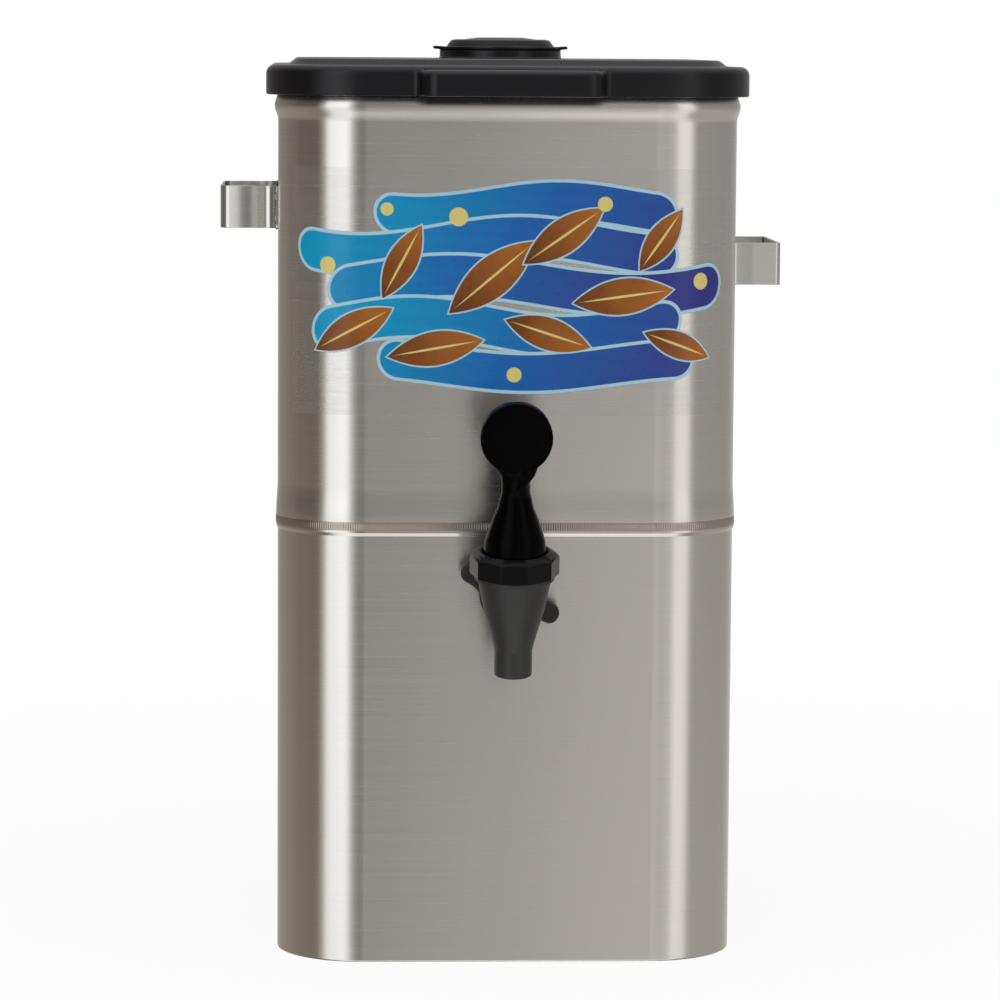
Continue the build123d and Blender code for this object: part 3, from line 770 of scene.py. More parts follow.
def tab_rings(rim_steps, tab_steps):
    """Rings that follow the rim's steps, and pass over to the tabs' steps where a tab stands out."""
    rings = []
    for rim, tab in zip(rim_steps, tab_steps):
        ring = []
        for point, outward in lid_plan:
            share = smoothstep((abs(point.y) - rim_y) / TAB_ROOT)
            inset, height = (low + (high - low) * share for low, high in zip(rim, tab))
            ring.append((*(point - outward * inset), height))
        rings.append(ring)
    return rings


def arc_up(radius, top, start=0.0, end=math.pi / 2, parts=6):
    """(inset, height) up a rounded edge of that radius below top."""
    return [(radius * (1 - math.cos(angle)), top - radius + radius * math.sin(angle))
            for angle in spaced(start, end, parts)]


print("a rounded edge:", [tuple(round(c, 2) for c in step) for step in arc_up(TAB_FILLET, LID_RIM, parts=2)])

# %% Up, over and back under
tab_top = LID_RIM - TAB_DROP
meeting = math.asin(1 - TAB_DROP / EDGE_FILLET)
low_edge = [(0.8, LID_LOW), (0.25, LID_LOW + 0.2), (0, LID_LOW + 0.8)]
rings = tab_rings(low_edge + arc_up(EDGE_FILLET, LID_RIM, end=meeting),
                  low_edge + arc_up(TAB_FILLET, tab_top))
pocket = PLATEAU_INSET + PLATEAU_SLOPE
slope = profile([(EDGE_FILLET, LID_RIM, 0), (PLATEAU_INSET, LID_RIM, 3.0), (pocket, PLATEAU_Z, 3.0),
                 (pocket + PLATEAU_INSET, PLATEAU_Z, 0)], steps=6)
rings += rim_rings(arc_up(EDGE_FILLET, LID_RIM, start=meeting) + slope[1:])
neck_foot, under_neck = NECK_RADIUS + 6, PLATEAU_Z - LID_WALL
neck = profile([(neck_foot, PLATEAU_Z, 0), (NECK_RADIUS, PLATEAU_Z, 1.6), (NECK_RADIUS, NECK_TOP, 0.7),
                (NECK_BORE, NECK_TOP, 0.7), (NECK_BORE, under_neck - LID_WALL, 0.5),
                (NECK_RADIUS, under_neck - LID_WALL, 0.5), (NECK_RADIUS, under_neck, 0.5),
                (neck_foot, under_neck, 0)])
rings += [[(*(point.normalized() * radius), height) for point, _ in rim_plan] for radius, height in neck]
under_rim, under_tab = LID_RIM - LID_WALL, tab_top - LID_WALL
rings += rim_rings([(pocket + 0.4, under_neck), (pocket, under_neck - 0.4), (pocket, under_rim + 0.4),
                    (pocket - 0.4, under_rim), (LID_WALL + 1, under_rim), (LID_WALL, under_rim - 1),
                    (LID_WALL, under_tab)])
hang = [(LID_WALL, under_tab - 1), (LID_WALL, LID_LOW + 0.6), (LID_WALL - 0.6, LID_LOW)]
rings += tab_rings([(LID_WALL, under_tab)] + hang, [(LID_WALL + 1, under_tab)] + hang)
print(len(rings), "rings make the lid")

# %% Lid
lid = ring_object("lid", rings, rings_closed=True)
RIB_INSET, RIB_WALL, RIB_BOTTOM = 2.2, 2.5, 462.0
rib_top = under_rim + 0.5
rib_section = profile([(0, RIB_BOTTOM, 0.8), (0, rib_top, 0), (-RIB_WALL, rib_top, 0),
                       (-RIB_WALL, RIB_BOTTOM, 0.8)], closed=True)
join(lid, ring_object("rib", swept(body_plan(-RIB_INSET), rib_section), rings_closed=True))
set_up(lid, "lid", "lid_plastic", lid_black, "lid_shell")

# %% [markdown]
# ## The printed film
#
# A clear film goes round the front from one corner to the other. Its print is painted by formulas instead of
# an image, so it stays sharp at any distance: wavy ribbons from cyan to indigo with pale edges, and a
# scatter of amber leaves and berries. The formulas need flat coordinates, so the distance round the corners
# is calculated first, as if the film were peeled off and laid on a table.

# %% Film
FILM_LOW, FILM_HIGH = 296.0, 428.0
FILM_WRAP = 55.0
FILM_NEAR, FILM_FAR = 0.03, 0.23
FLAT_X, FLAT_Y = BODY_WIDTH / 2 - BODY_CORNER, BODY_DEPTH / 2 - BODY_CORNER

corner_parts = round(FILM_WRAP / (90 / CORNER_STEPS))
stations = []
for side in (-1, 1):
    for turn in sorted(spaced(0, side * math.radians(FILM_WRAP), corner_parts)):
        direction = Vector((math.sin(turn), -math.cos(turn)))
        stations.append((Vector((side * FLAT_X, -FLAT_Y)) + direction * BODY_CORNER, direction))
section = profile([(FILM_NEAR, FILM_LOW, 0), (FILM_FAR, FILM_LOW, 0.06), (FILM_FAR, FILM_HIGH, 0.06),
                   (FILM_NEAR, FILM_HIGH, 0)], closed=True)
film = ring_object("front_film", swept(stations, section), caps=True)
print(f"the film is {2 * (FLAT_X + math.radians(FILM_WRAP) * BODY_CORNER):.0f} mm long when flat")

# %% Flat coordinates of the print
INK_SPAN = 116.0
RIBBONS = [
    (8, 70, 45, 9.5, 4, 150, 0.5), (-14, 92, 25, 10.0, 5, 170, 1.4), (10, 96, 4, 10.5, 5, 190, 2.6),
    (-8, 88, -18, 10.0, 5, 160, 3.6), (14, 74, -39, 9.5, 4, 180, 4.4),
]
LEAVES = [
    (-84, -20, 28, 24, 8.5), (-58, 16, 62, 22, 8.0), (-40, -30, 10, 26, 9.0), (-10, 8, 40, 30, 10.5),
    (20, -22, -18, 24, 8.5), (28, 30, 35, 26, 9.0), (60, -2, 8, 27, 9.5), (80, 28, 55, 20, 7.5),
    (90, -28, -20, 20, 7.0),
]
BERRIES = [(-98, 14, 4.5), (-28, 40, 5.0), (2, -44, 4.0), (50, 47, 4.0), (103, 6, 4.5), (-66, 44, 3.5)]
CYAN, BLUE, INDIGO = (0.0, 0.36, 0.62), (0.01, 0.14, 0.48), (0.035, 0.038, 0.26)
PALE_BLUE, CREAM = (0.46, 0.70, 0.80), (0.80, 0.68, 0.22)
RIBBON_EDGE, LEAF_EDGE = 1.8, 0.9
TEA_DARK, TEA_LIGHT = (0.10, 0.018, 0.006), (0.52, 0.17, 0.02)

print_film, add, shader = new_finish("printed_film", Specular_IOR_Level=0.35)
x, y, z = (wire * 1000 for wire in parts_of(add, add("ShaderNodeTexCoord", out=3)))
bend = (x.math("ABSOLUTE") - FLAT_X).math("MAXIMUM", 0).math("ARCTAN2", 0 - y - FLAT_Y)
along = (x.math("ABSOLUTE").math("MINIMUM", FLAT_X) + bend * BODY_CORNER) * x.math("SIGN")
rise = z - (FILM_LOW + FILM_HIGH) / 2


def inside(distance, soft=0.15):
    """1 where a distance is negative, with a thin soft edge."""
    return change_over(add, distance, -soft, soft, start=1.0, end=0.0, kind="LINEAR")


def ribbon(middle, half_length, level, half_width, wave, length, start):
    """The distance to a wavy bar with round ends."""
    line = (along * (math.tau / length) + start).math("SINE") * wave + level
    past_end = ((along - middle).math("ABSOLUTE") - half_length).math("MAXIMUM", 0)
    across = rise - line
    return (past_end * past_end + across * across).math("SQRT") - half_width


def leaf(middle, level, turn, half_length, half_width):
    """The distance to a leaf's edge and to its vein, and the place along it from -1 to 1."""
    cos, sin = math.cos(math.radians(turn)), math.sin(math.radians(turn))
    lengthwise = ((along - middle) * cos + (rise - level) * sin) / half_length
    across = ((rise - level) * cos - (along - middle) * sin).math("ABSOLUTE")
    taper = 1 - lengthwise * lengthwise
    return across - taper * half_width, across - taper * 0.9 + 0.25, lengthwise


print(len(RIBBONS), "ribbons,", len(LEAVES), "leaves and", len(BERRIES), "berries")

# %% Print
streaks = grain(add, (30, 30, 420), detail=4.0)
blotches = grain(add, (60, 60, 60), detail=5.0)
shade = along / (2 * INK_SPAN) + 0.5
colour = PALE_BLUE
ink = None
for number, bar in enumerate(RIBBONS):
    distance = ribbon(*bar)
    tint = shade + (streaks - 0.5) * 0.16 + (number % 3 - 1) * 0.10
    fill = add("ShaderNodeValToRGB", {"stops": [(0.05, CYAN), (0.5, BLUE), (0.95, INDIGO)]}, {0: tint})
    border = inside(distance - RIBBON_EDGE)
    colour = blend_colours(add, border, colour, PALE_BLUE)
    colour = blend_colours(add, inside(distance), colour, fill)
    ink = border if ink is None else ink.math("MAXIMUM", border)
for shape in LEAVES:
    edge, vein, lengthwise = leaf(*shape)
    tea = blend_colours(add, lengthwise * 0.35 + 0.25 + blotches * 0.5, TEA_DARK, TEA_LIGHT)
    border = inside(edge - LEAF_EDGE)
    for mask, paint in ((border, PALE_BLUE), (inside(edge), tea), (inside(vein), CREAM)):
        colour = blend_colours(add, mask, colour, paint)
    ink = ink.math("MAXIMUM", border)
for middle, level, radius in BERRIES:
    apart, above = along - middle, rise - level
    berry = inside((apart * apart + above * above).math("SQRT") - radius)
    colour = blend_colours(add, berry, colour, CREAM)
    ink = ink.math("MAXIMUM", berry)
CLEAR, INKED, BARE_FILM, INK_DEPTH = 0.035, 0.84, (0.50, 0.50, 0.48), 0.02
link(shader, "Alpha", ink * (INKED - CLEAR) + CLEAR - (streaks - 0.5) * 0.06)
roughness = 0.34 - ink * 0.06 + (blotches - 0.5) * 0.10
relief = ink * 0.8 + streaks * 0.2
dress(add, shader, blend_colours(add, ink, BARE_FILM, colour), roughness, relief, INK_DEPTH)
set_up(film, "dispenser_body", "label_film", print_film, "front_label")

# %% [markdown]
# ## The filling plug
#
# The plug is a turned cap with two finger wings on its flange. It is turned like a bowl, but its flange's
# radius depends on the direction, so that the wings grow out of the same rings.

# %% Flange and wings
WING_REACH, WING_HALF_WIDTH, WING_CORNER = 37.6, 11.0, 7.3
FLANGE_RADIUS, FLANGE = 34.2, 1.9
PLUG_SKIRT, PLUG_INSIDE, PLUG_LOW = 30.3, 28.1, 474.0
SEAL_Z, SEAL_HALF, SEAL_GROOVE = 481.0, 1.3, 0.8
PLUG_STEPS = 144
HALVINGS = 30


def wing_distance(x, y):
    """How far outside the wings' rounded rectangle a point is."""
    over_x = abs(x) - WING_REACH + WING_CORNER
    over_y = abs(y) - WING_HALF_WIDTH + WING_CORNER
    outside = math.hypot(max(over_x, 0.0), max(over_y, 0.0))
    return outside + min(max(over_x, over_y), 0.0) - WING_CORNER


def flange_radius(angle):
    """Finds the edge in one direction by halving the span that it must lie in."""
    low, high = 0.0, 2 * WING_REACH
    for _ in range(HALVINGS):
        middle = (low + high) / 2
        if wing_distance(middle * math.cos(angle), middle * math.sin(angle)) < 0:
            low = middle
        else:
            high = middle
    return max(FLANGE_RADIUS, low)


def wing_row(inset, height, lift=0.3):
    """A ring round flange and wings, whose tips are lifted a little."""
    ring = []
    for i in range(PLUG_STEPS):
        angle = math.tau * i / PLUG_STEPS
        radius = flange_radius(angle)
        rise = lift * smoothstep((radius - FLANGE_RADIUS) / (WING_REACH - FLANGE_RADIUS))
        radius -= inset
        ring.append((radius * math.cos(angle), radius * math.sin(angle), height + rise))
    return ring


print(f"the flange's radius runs from {flange_radius(math.pi / 2):.1f} to {flange_radius(0):.1f} mm")

# %% Plug
flange_top = NECK_TOP + FLANGE
lower = profile([
    (0, NECK_TOP, 0), (PLUG_INSIDE, NECK_TOP, 1.0), (PLUG_INSIDE, PLUG_LOW, 0.5),
    (PLUG_SKIRT, PLUG_LOW, 0.8),
    (PLUG_SKIRT, SEAL_Z - SEAL_HALF, 0.2), (PLUG_SKIRT - SEAL_GROOVE, SEAL_Z - SEAL_HALF, 0.2),
    (PLUG_SKIRT - SEAL_GROOVE, SEAL_Z + SEAL_HALF, 0.2), (PLUG_SKIRT, SEAL_Z + SEAL_HALF, 0.2),
    (PLUG_SKIRT, NECK_TOP, 0.3), (FLANGE_RADIUS, NECK_TOP, 0.3),
    (FLANGE_RADIUS, NECK_TOP + 0.3, 0)])
upper = profile([
    (FLANGE_RADIUS - 1.6, flange_top, 0), (30.1, flange_top, 0.5), (29.1, NECK_TOP + 3.5, 0.8),
    (27.6, NECK_TOP + 5.4, 1.2), (25.0, NECK_TOP + 6.0, 1.2), (23.6, NECK_TOP + 5.6, 0.8),
    (20.5, NECK_TOP + 5.9, 3.0), (12.5, NECK_TOP + 7.0, 6.0), (0, NECK_TOP + 7.0, 0)])
rings = turned(lower, PLUG_STEPS)
rings += [wing_row(0.2, NECK_TOP + 0.35), wing_row(0, NECK_TOP + 0.6), wing_row(0, flange_top - 0.4),
          wing_row(0.12, flange_top - 0.12), wing_row(0.4, flange_top)]
rings += turned(upper, PLUG_STEPS)
plug = ring_object("plug", rings)
set_up(plug, "plug", "lid_plastic", plug_black, "plug_cap")

# %% [markdown]
# ## The tap
#
# The tap leans forward by ten degrees, so all its pieces are modelled upright about one axis and then put
# in place by one matrix. Its body is a tapered chamber that ends in a straight spout. It is turned as one
# solid, the tail is joined on, and the hollow inside is cut out last, as a mould's core would leave it.

# %% Smooth values
def value_at(points, place):
    """A smooth curve through (place, value) points: cubic pieces whose slopes follow their neighbours."""
    last = len(points) - 1
    i = max(k for k in range(last) if points[k][0] <= place or k == 0)

    def slope(k):
        low, high = max(k - 1, 0), min(k + 1, last)
        return (points[high][1] - points[low][1]) / (points[high][0] - points[low][0])

    span = points[i + 1][0] - points[i][0]
    t = (place - points[i][0]) / span
    start, end = points[i][1], points[i + 1][1]
    rise = (2 * t ** 3 - 3 * t ** 2 + 1) * start + (3 * t ** 2 - 2 * t ** 3) * end
    return rise + (t ** 3 - 2 * t ** 2 + t) * span * slope(i) + (t ** 3 - t ** 2) * span * slope(i + 1)


def curve_between(points, parts):
    """(value, place) points along the whole of such a curve."""
    return [(value_at(points, place), place) for place in spaced(points[0][0], points[-1][0], parts)]


print("halfway from 0 to 1 to 0:", value_at([(0, 0), (1, 1), (2, 0)], 0.5))

# %% Tap body
OUTLET_Z, SPOUT_TOP = -31.3, -17.4
SPOUT_RADIUS, SPOUT_BORE = 9.9, 6.5
CHAMBER = [(SPOUT_TOP, SPOUT_RADIUS), (-8.6, 12.2), (4.5, 15.9), (18.8, 18.8), (21.5, 19.4)]
COLLAR_RADIUS, COLLAR_TOP = 21.0, 23.8
THREAD_RADIUS, THREAD_TOP = 20.3, 31.0
CHAMBER_WALL = 2.4
TAIL_RADIUS, TAIL_START, TAIL_END = 8.5, 2.0, 44.5
RING_START, RING_END, RING_GROOVE = 41.0, 43.0, TAIL_RADIUS - 0.5
TAP_STEPS = 112

lip = profile([(0, OUTLET_Z, 0), (SPOUT_RADIUS, OUTLET_Z, 0.7), (SPOUT_RADIUS, SPOUT_TOP, 0)])
collar = profile([(CHAMBER[-1][1], CHAMBER[-1][0], 0), (COLLAR_RADIUS, CHAMBER[-1][0], 0.5),
                  (COLLAR_RADIUS, COLLAR_TOP, 0.4), (THREAD_RADIUS, COLLAR_TOP, 0.2),
                  (THREAD_RADIUS, THREAD_TOP, 0.4), (0, THREAD_TOP, 0)])
outline = lip + curve_between(CHAMBER, 24)[1:-1] + collar
tap_body = turned_object("tap_body", outline, FAUCET_PLACE, TAP_STEPS)
tail_section = profile([
    (0, TAIL_START, 0), (TAIL_RADIUS, TAIL_START, 0), (TAIL_RADIUS, RING_START, 0.1),
    (RING_GROOVE, RING_START, 0), (RING_GROOVE, RING_END, 0), (TAIL_RADIUS, RING_END, 0.1),
    (TAIL_RADIUS, TAIL_END, 0.3), (0, TAIL_END, 0)])
carve(tap_body, turned_object("tail", tail_section, TAIL_PLACE, TAIL_STEPS), "UNION")
print("the tap's body has its tail")

# %% Hollow of the tap body
SEAT_Z, MOUTH_RADIUS, MOUTH_DEPTH = -9.0, SPOUT_BORE + 0.5, 0.5
CUP_RADIUS, CUP_LOW = 16.66, 20.5
FLANGE_BORE, FLANGE_LOW = 18.36, 24.3

low, middle, high = [radius - CHAMBER_WALL for _, radius in CHAMBER[1:4]]
hollow = [(0, OUTLET_Z - 1), (MOUTH_RADIUS, OUTLET_Z - 1), (MOUTH_RADIUS, OUTLET_Z),
          (SPOUT_BORE, OUTLET_Z + MOUTH_DEPTH), (SPOUT_BORE, SEAT_Z), (low, SEAT_Z),
          (middle, CHAMBER[2][0]), (high, CHAMBER[3][0]), (high, CUP_LOW), (CUP_RADIUS, CUP_LOW),
          (CUP_RADIUS, FLANGE_LOW), (FLANGE_BORE, FLANGE_LOW), (FLANGE_BORE, THREAD_TOP + 1),
          (0, THREAD_TOP + 1)]
carve(tap_body, turned_object("hollow", hollow, FAUCET_PLACE, TAP_STEPS), "DIFFERENCE")
bore = [(0, 0), (SPOUT_BORE, 0), (SPOUT_BORE, TAIL_END + 1), (0, TAIL_END + 1)]
carve(tap_body, turned_object("bore", bore, TAIL_PLACE, TAIL_STEPS), "DIFFERENCE")
set_up(tap_body, "dispenser_body", "spout_grey", spout_grey, "faucet_body", sharp=35)

# %% [markdown]
# ## The bonnet
#
# A ring nut with ten flats. Where its flats run into the turned cone on top, they end in scallops, and
# those edges catch the light. A boolean cut would leave them jagged, so the nut is built in columns, one
# for each station, and each column's flat ends at the height where the cone is as wide as it is.

# %% Bonnet
BONNET_SIDES = 10
BONNET_RADIUS = 23.5
BONNET_TURN = math.radians(-74.5)
BONNET_LOW, BONNET_SHOULDER, PIVOT_Z = 24.0, 33.6, 36.6
BONNET_LIP, BONNET_MOUTH = 18.8, 17.4
BONNET_BORE, BORE_TOP = 20.4, 32.6
CONE_SLOPE = (PIVOT_Z - 0.3 - BONNET_SHOULDER) / (BONNET_RADIUS - BONNET_LIP)
SCALLOP_ROUND = 0.35
CORNER_ROUND = 1.2

corners = []
for i in range(BONNET_SIDES):
    angle = BONNET_TURN + math.tau * i / BONNET_SIDES
    corners.append((BONNET_RADIUS * math.cos(angle), BONNET_RADIUS * math.sin(angle), CORNER_ROUND))
flats = divided(soft_corners(corners, steps=5), 1.0)
cone_top = (BONNET_LIP + 0.3, PIVOT_Z - 0.3)
rim = profile([(*cone_top, 0), (BONNET_LIP - 0.2, PIVOT_Z, 0.4),
               (BONNET_MOUTH, PIVOT_Z, 0.4), (BONNET_MOUTH, BORE_TOP, 0.2)])
columns = []
for point, _ in flats:
    own = point.length
    top = BONNET_SHOULDER + (BONNET_RADIUS - own) * CONE_SLOPE
    column = [(BONNET_BORE, BORE_TOP), (BONNET_BORE, BONNET_LOW), (own - 0.7, BONNET_LOW),
              (own - 0.2, BONNET_LOW + 0.2), (own, BONNET_LOW + 0.7), (own, top - 1.2 * SCALLOP_ROUND),
              (own - 0.12 * SCALLOP_ROUND, top - 0.3 * SCALLOP_ROUND),
              (own - 0.6 * SCALLOP_ROUND, top + 0.25 * SCALLOP_ROUND)]
    for share in (0.15, 0.4, 0.7, 0.9):
        swell = 0.5 * share * (1 - share)
        column.append((own + (cone_top[0] - own) * share, top + (cone_top[1] - top) * share + swell))
    columns.append([(*(point.normalized() * radius), height) for radius, height in column + rim])
rings = list(zip(*columns))
bonnet = ring_object("bonnet", rings, FAUCET_PLACE, rings_closed=True)
set_up(bonnet, "dispenser_body", "bonnet_black", bonnet_black, "faucet_bonnet", sharp=50)

# %% [markdown]
# ## The handle
#
# The handle is glossy moulded plastic: a bell that pivots in the bonnet, a twisted neck, and a round head
# with a plain disc let into it. The neck is the hard part. Its section is round at the bell, grows two
# opposite ridges, and ends as a flat paddle under the head. All the while it turns, so that one ridge
# crosses the front from upper right to lower left. Three short tables give the two radii and the turn.

# %% Bell
BELL_RADIUS, BELL_BOTTOM, BELL_CAVITY, BELL_ROOF = 16.5, 5.0, 13.2, 9.8
PARTING_Z, PARTING_RADIUS = 47.6, 14.0
GROOVE = 0.18


def sphere_points(radius, low, high, parts):
    """(radius, height) points on a sphere about the pivot, between two heights above it."""
    return [(math.sqrt(radius ** 2 - height ** 2), PIVOT_Z + height) for height in spaced(low, high, parts)]


ball = sphere_points(BELL_RADIUS, -BELL_BOTTOM, 0, 8)
upper_bell = curve_between([(PIVOT_Z, BELL_RADIUS), (42.7, 15.6), (PARTING_Z, PARTING_RADIUS)], 12)
cavity = sphere_points(BELL_CAVITY, BELL_ROOF, -BELL_BOTTOM, 14)
outline = ball[:-1] + upper_bell[:-1]
outline += [(PARTING_RADIUS + 0.02, PARTING_Z - 0.2), (PARTING_RADIUS - GROOVE, PARTING_Z)]
outline += [(0, PARTING_Z), (0, PIVOT_Z + BELL_ROOF)] + cavity + [ball[0]]
bell = turned_object("bell", outline, FAUCET_PLACE, TAP_STEPS)
set_up(bell, "tap_handle", "tap_black", tap_black, "handle_base")

# %% Twisted neck
NECK_END = 84.0
FLAT_RADIUS = [(PARTING_Z, 14.0), (54.6, 11.6), (60.6, 9.0), (66.5, 7.6), (71.5, 7.5), (75, 6.8),
               (78.4, 4.4), (81, 3.6), (NECK_END, 3.4)]
RIDGE_RADIUS = [(PARTING_Z, 14.0), (54.6, 11.7), (60.6, 9.3), (66.5, 8.6), (71.5, 9.0), (75, 9.5),
                (78.4, 10.5), (NECK_END, 12.4)]
RIDGE_TURN = [(PARTING_Z, 262), (56, 225), (61, 188), (65, 152), (67.4, 124), (71.5, 84), (75, 50),
              (78.6, 17), (NECK_END, 0)]
NECK_ROWS = 90
SECTION_STEPS = 160
RIDGE_SOFTNESS = 0.03
SHUT_IN = 0.985


def neck_row(height):
    """The neck's section at a height: two opposite ridges, turned as the tables say."""
    flat, ridge = value_at(FLAT_RADIUS, height), value_at(RIDGE_RADIUS, height)
    turn = math.radians(value_at(RIDGE_TURN, height))
    ring = []
    for i in range(SECTION_STEPS):
        angle = math.tau * i / SECTION_STEPS
        from_ridge = math.sqrt(math.sin(angle + turn) ** 2 + RIDGE_SOFTNESS ** 2)
        radius = flat + (ridge - flat) * max(1 - from_ridge, 0.0)
        ring.append((radius * math.cos(angle), radius * math.sin(angle), height))
    return ring


rings = [neck_row(height) for height in spaced(PARTING_Z, NECK_END, NECK_ROWS)]
rings.insert(0, [(x * SHUT_IN, y * SHUT_IN, PARTING_Z) for x, y, _ in rings[0]])
neck = ring_object("handle_neck", rings, FAUCET_PLACE, caps=True)
print(len(rings), "rows in the neck")

# %% Head and disc
HEAD_Z, HEAD_RADIUS, HEAD_THICKNESS = 97.5, 18.8, 9.0
DISC_RADIUS, DISC_DEPTH = 17.3, 1.2

front, back = -HEAD_THICKNESS / 2, HEAD_THICKNESS / 2
rim_inside = DISC_RADIUS + 0.15
head_section = profile([
    (0, front + DISC_DEPTH, 0), (rim_inside, front + DISC_DEPTH, 0.1), (rim_inside, front, 0.25),
    (HEAD_RADIUS, front, 0.9), (HEAD_RADIUS, back, 3.6), (HEAD_RADIUS * 0.5, back + 0.5, 8.0),
    (0, back + 0.7, 0)], steps=6)
head_place = FAUCET_PLACE @ Matrix.Translation(Vector((0, 0, HEAD_Z)) * MM) @ ALONG_TAIL
carve(neck, turned_object("handle_head", head_section, head_place, TAP_STEPS), "UNION")
set_up(neck, "tap_handle", "tap_black", tap_black, "handle_grip", sharp=32)
disc_section = profile([
    (0, front + DISC_DEPTH, 0), (DISC_RADIUS, front + DISC_DEPTH, 0), (DISC_RADIUS, front, 0.35),
    (DISC_RADIUS * 0.7, front - 0.25, 6.0), (0, front - 0.35, 0)], steps=6)
disc = turned_object("handle_disc", disc_section, head_place, TAP_STEPS)
set_up(disc, "tap_handle", "tap_black", tap_black, "handle_medallion")

# %% [markdown]
# ## The wing nut
#
# The nut behind the tap pulls its gasket tight by hand. Its two ears are one flat plate with rounded
# edges, joined to the turned hub, and the thread's hole is cut through both.

# %% Wing nut
NUT_START, NUT_END, NUT_WEB, NUT_RADIUS = 37.0, 51.0, 3.6, 16.5
EAR_REACH, EAR_HALF, EAR_THICKNESS, EAR_TURN = 29.0, 5.0, 6.0, math.radians(28.0)
EAR_TIP, WAIST, WAIST_SWELL, WAIST_BEND = 4.8, 16.5, 0.8, 14.0
ROOT_X, ROOT_Y, ROOT_BEND = 8.0, 12.5, 4.0
EDGE = 1.5

hub_section = profile([(0, NUT_START, 0), (NUT_RADIUS, NUT_START, 1.4), (NUT_RADIUS, NUT_END, 0.8),
                       (0, NUT_END, 0)])
hub = turned_object("wing_nut_piece", hub_section, TAIL_PLACE, TAP_STEPS)
ear_start = [(-EAR_REACH, -EAR_HALF, EAR_TIP), (-WAIST, -EAR_HALF - WAIST_SWELL, WAIST_BEND),
             (-ROOT_X, -ROOT_Y, ROOT_BEND)]
lower_side = ear_start + [(-x, y, radius) for x, y, radius in reversed(ear_start)]
ears = soft_corners(lower_side + [(-x, -y, radius) for x, y, radius in lower_side], steps=10)
edge_arc = [(EDGE * (1 - math.sin(a)), EDGE * (1 - math.cos(a))) for a in spaced(0, math.pi / 2, 5)]
levels = edge_arc + [(inset, EAR_THICKNESS - up) for inset, up in reversed(edge_arc)]
ear_section = [(-inset, NUT_START + NUT_WEB + up) for inset, up in levels]
rings = [list(ring) for ring in zip(*swept(ears, ear_section))]
ears_place = TAIL_PLACE @ Matrix.Rotation(EAR_TURN, 4, "Z")
carve(hub, ring_object("ears", rings, ears_place, caps=True), "UNION")
hole = [(0, NUT_START - 1), (TAIL_RADIUS + 0.3, NUT_START - 1), (TAIL_RADIUS + 0.3, NUT_START + NUT_WEB),
        (SPUD_RADIUS + 0.06, NUT_START + NUT_WEB), (SPUD_RADIUS + 0.06, NUT_END + 1), (0, NUT_END + 1)]
carve(hub, turned_object("hole", hole, TAIL_PLACE, TAIL_STEPS), "DIFFERENCE")
set_up(hub, "wing_nut_body", "nut_black", nut_black, "wing_nut", sharp=35)

# %% [markdown]
# ## The outlet tube
#
# Behind the nut, a threaded steel tube comes out of the skirt through a welded boss. A few turns of its
# thread show. A bump map would be smooth along the outline, so each ring's radius follows the thread:
# rings up the tube, each shifted by its share of a turn.

# %% Outlet tube
TUBE_START, TUBE_END, TUBE_BORE = 47.0, 66.0, 7.0
PITCH, THREAD_DEPTH, HOLE_GAP, ROWS_PER_TURN = 1.8, 0.9, 0.05, 8

rings = turned([(TUBE_BORE, TUBE_START)], TAIL_STEPS)
rows = round((TUBE_END - TUBE_START) / PITCH * ROWS_PER_TURN)
for height in spaced(TUBE_START, TUBE_END, rows):
    run_out = min(1.0, (height - TUBE_START) / PITCH, (TUBE_END - height) / PITCH)
    ring = []
    for i in range(TAIL_STEPS):
        phase = (height / PITCH - i / TAIL_STEPS) % 1.0
        radius = SPUD_RADIUS - HOLE_GAP - THREAD_DEPTH * (1 - abs(2 * phase - 1) * run_out)
        angle = math.tau * i / TAIL_STEPS
        ring.append((radius * math.cos(angle), radius * math.sin(angle), height))
    rings.append(ring)
rings += turned([(TUBE_BORE, TUBE_END)], TAIL_STEPS)
tube = ring_object("outlet_tube", rings, TAIL_PLACE, rings_closed=True)
print(rows, "rows of thread")

# %% Boss
BOSS_RADIUS, BOSS_THICKNESS, BOSS_STEPS = 16.4, 2.4, 96

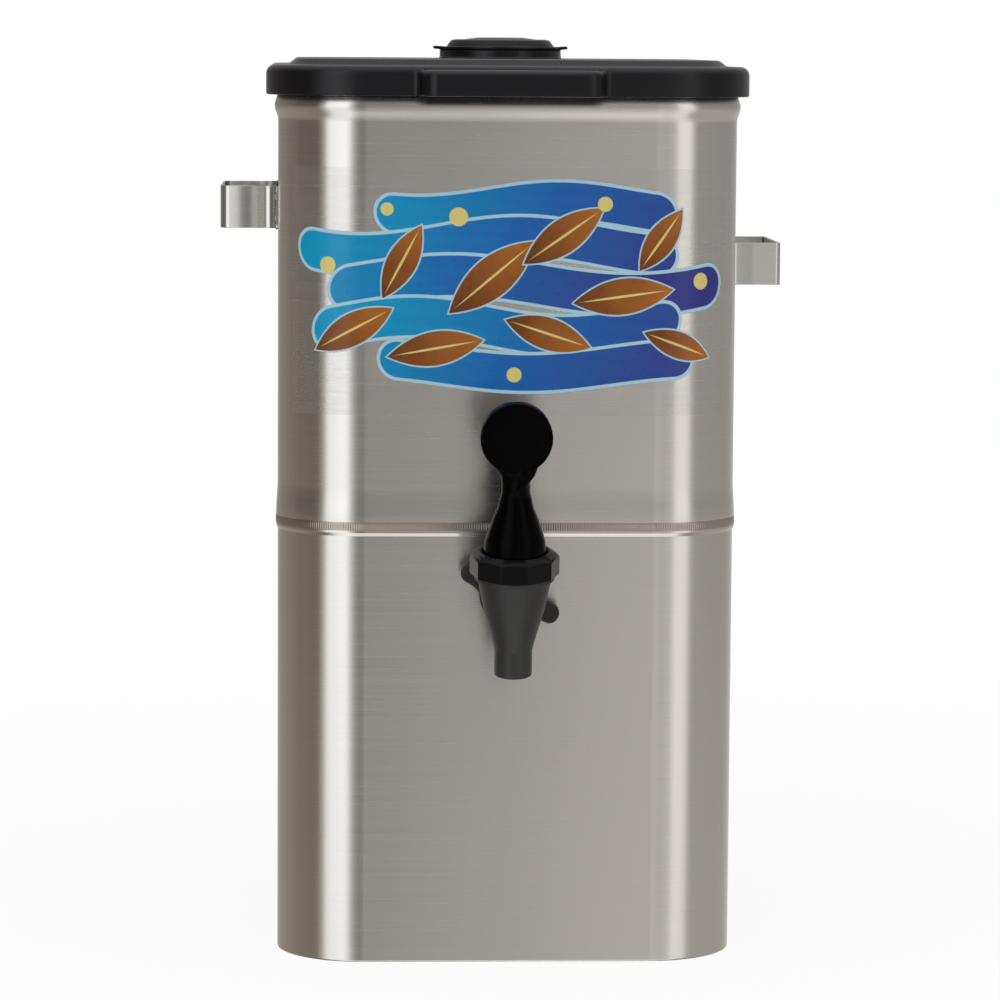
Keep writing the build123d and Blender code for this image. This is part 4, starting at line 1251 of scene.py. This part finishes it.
boss_section = profile([(TUBE_BORE, 0, 0), (TUBE_BORE, BOSS_THICKNESS, 0.1),
                        (BOSS_RADIUS, BOSS_THICKNESS, 0.8), (BOSS_RADIUS, 0.4, 0.3),
                        (BOSS_RADIUS + 0.4, 0, 0)], closed=True)
skirt_front = (-BODY_DEPTH / 2 + SKIRT_GAP) * MM
tap_at = FAUCET_PLACE.translation
boss_z = tap_at.z + (skirt_front - tap_at.y) * math.tan(FAUCET_LEAN)
boss_place = Matrix.Translation(Vector((0, skirt_front, boss_z))) @ Matrix.Rotation(math.pi / 2, 4, "X")
join(tube, turned_object("boss", boss_section, boss_place, BOSS_STEPS, rings_closed=True))
set_up(tube, "dispenser_body", "machined_steel", lathe_steel, "outlet_spud")

# %% [markdown]
# ## The seat spring
#
# The spring pushes the valve shut. Its wire is a tube along a helix whose first and last turns lie flat.
# When the handle tilts, the valve rises and the spring is squeezed.

# %% Spring
SPRING_RADIUS, WIRE_RADIUS, SPRING_TURNS, CLOSED_TURNS = 6.0, 0.45, 7.0, 0.7
SPRING_LOW, SPRING_HIGH = 6.9, 20.0
SPRING_STEPS, WIRE_SIDES = 36, 12

wire_section = [(out, up) for out, up, _ in turned([(WIRE_RADIUS, 0)], WIRE_SIDES)[0]]
rings = []
for i in range(int(SPRING_TURNS * SPRING_STEPS) + 1):
    angle = math.tau * i / SPRING_STEPS
    share = min(max((i / SPRING_STEPS - CLOSED_TURNS) / (SPRING_TURNS - 2 * CLOSED_TURNS), 0.0), 1.0)
    height = SPRING_LOW + (SPRING_HIGH - SPRING_LOW) * (0.6 * share + 0.4 * smoothstep(share))
    outward = Vector((math.cos(angle), math.sin(angle)))
    rings += swept([(outward * SPRING_RADIUS, outward)], [(out, height + up) for out, up in wire_section])
spring = ring_object("spring", rings, FAUCET_PLACE, caps=True)
set_up(spring, "dispenser_body", "spring_steel", spring_steel, "seat_spring")
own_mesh(spring)

# %% [markdown]
# ## The pieces that keep their construction meshes
#
# The tank's floor, the tubes, pins, seals and valve pieces are simple turned or bent forms, and they are
# already exact. They only need a finish.

# %% Kept pieces
KEPT = {
    "tank_floor_pan": sheet_steel, "pivot_pin": lathe_steel,
    "lift_pin": lathe_steel, "spring_cap": lathe_steel, "valve_stem": lathe_steel,
    "nut_retaining_ring": lathe_steel, "shank_gasket": silicone, "stem_seal": silicone,
    "seat_cup": silicone, "plug_seal_ring": black_rubber, "pivot_cup": bonnet_black,
}
for name, material in KEPT.items():
    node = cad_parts[name]
    node.data.materials.clear()
    node.data.materials.append(material)
print(len(KEPT), "pieces keep their construction meshes")
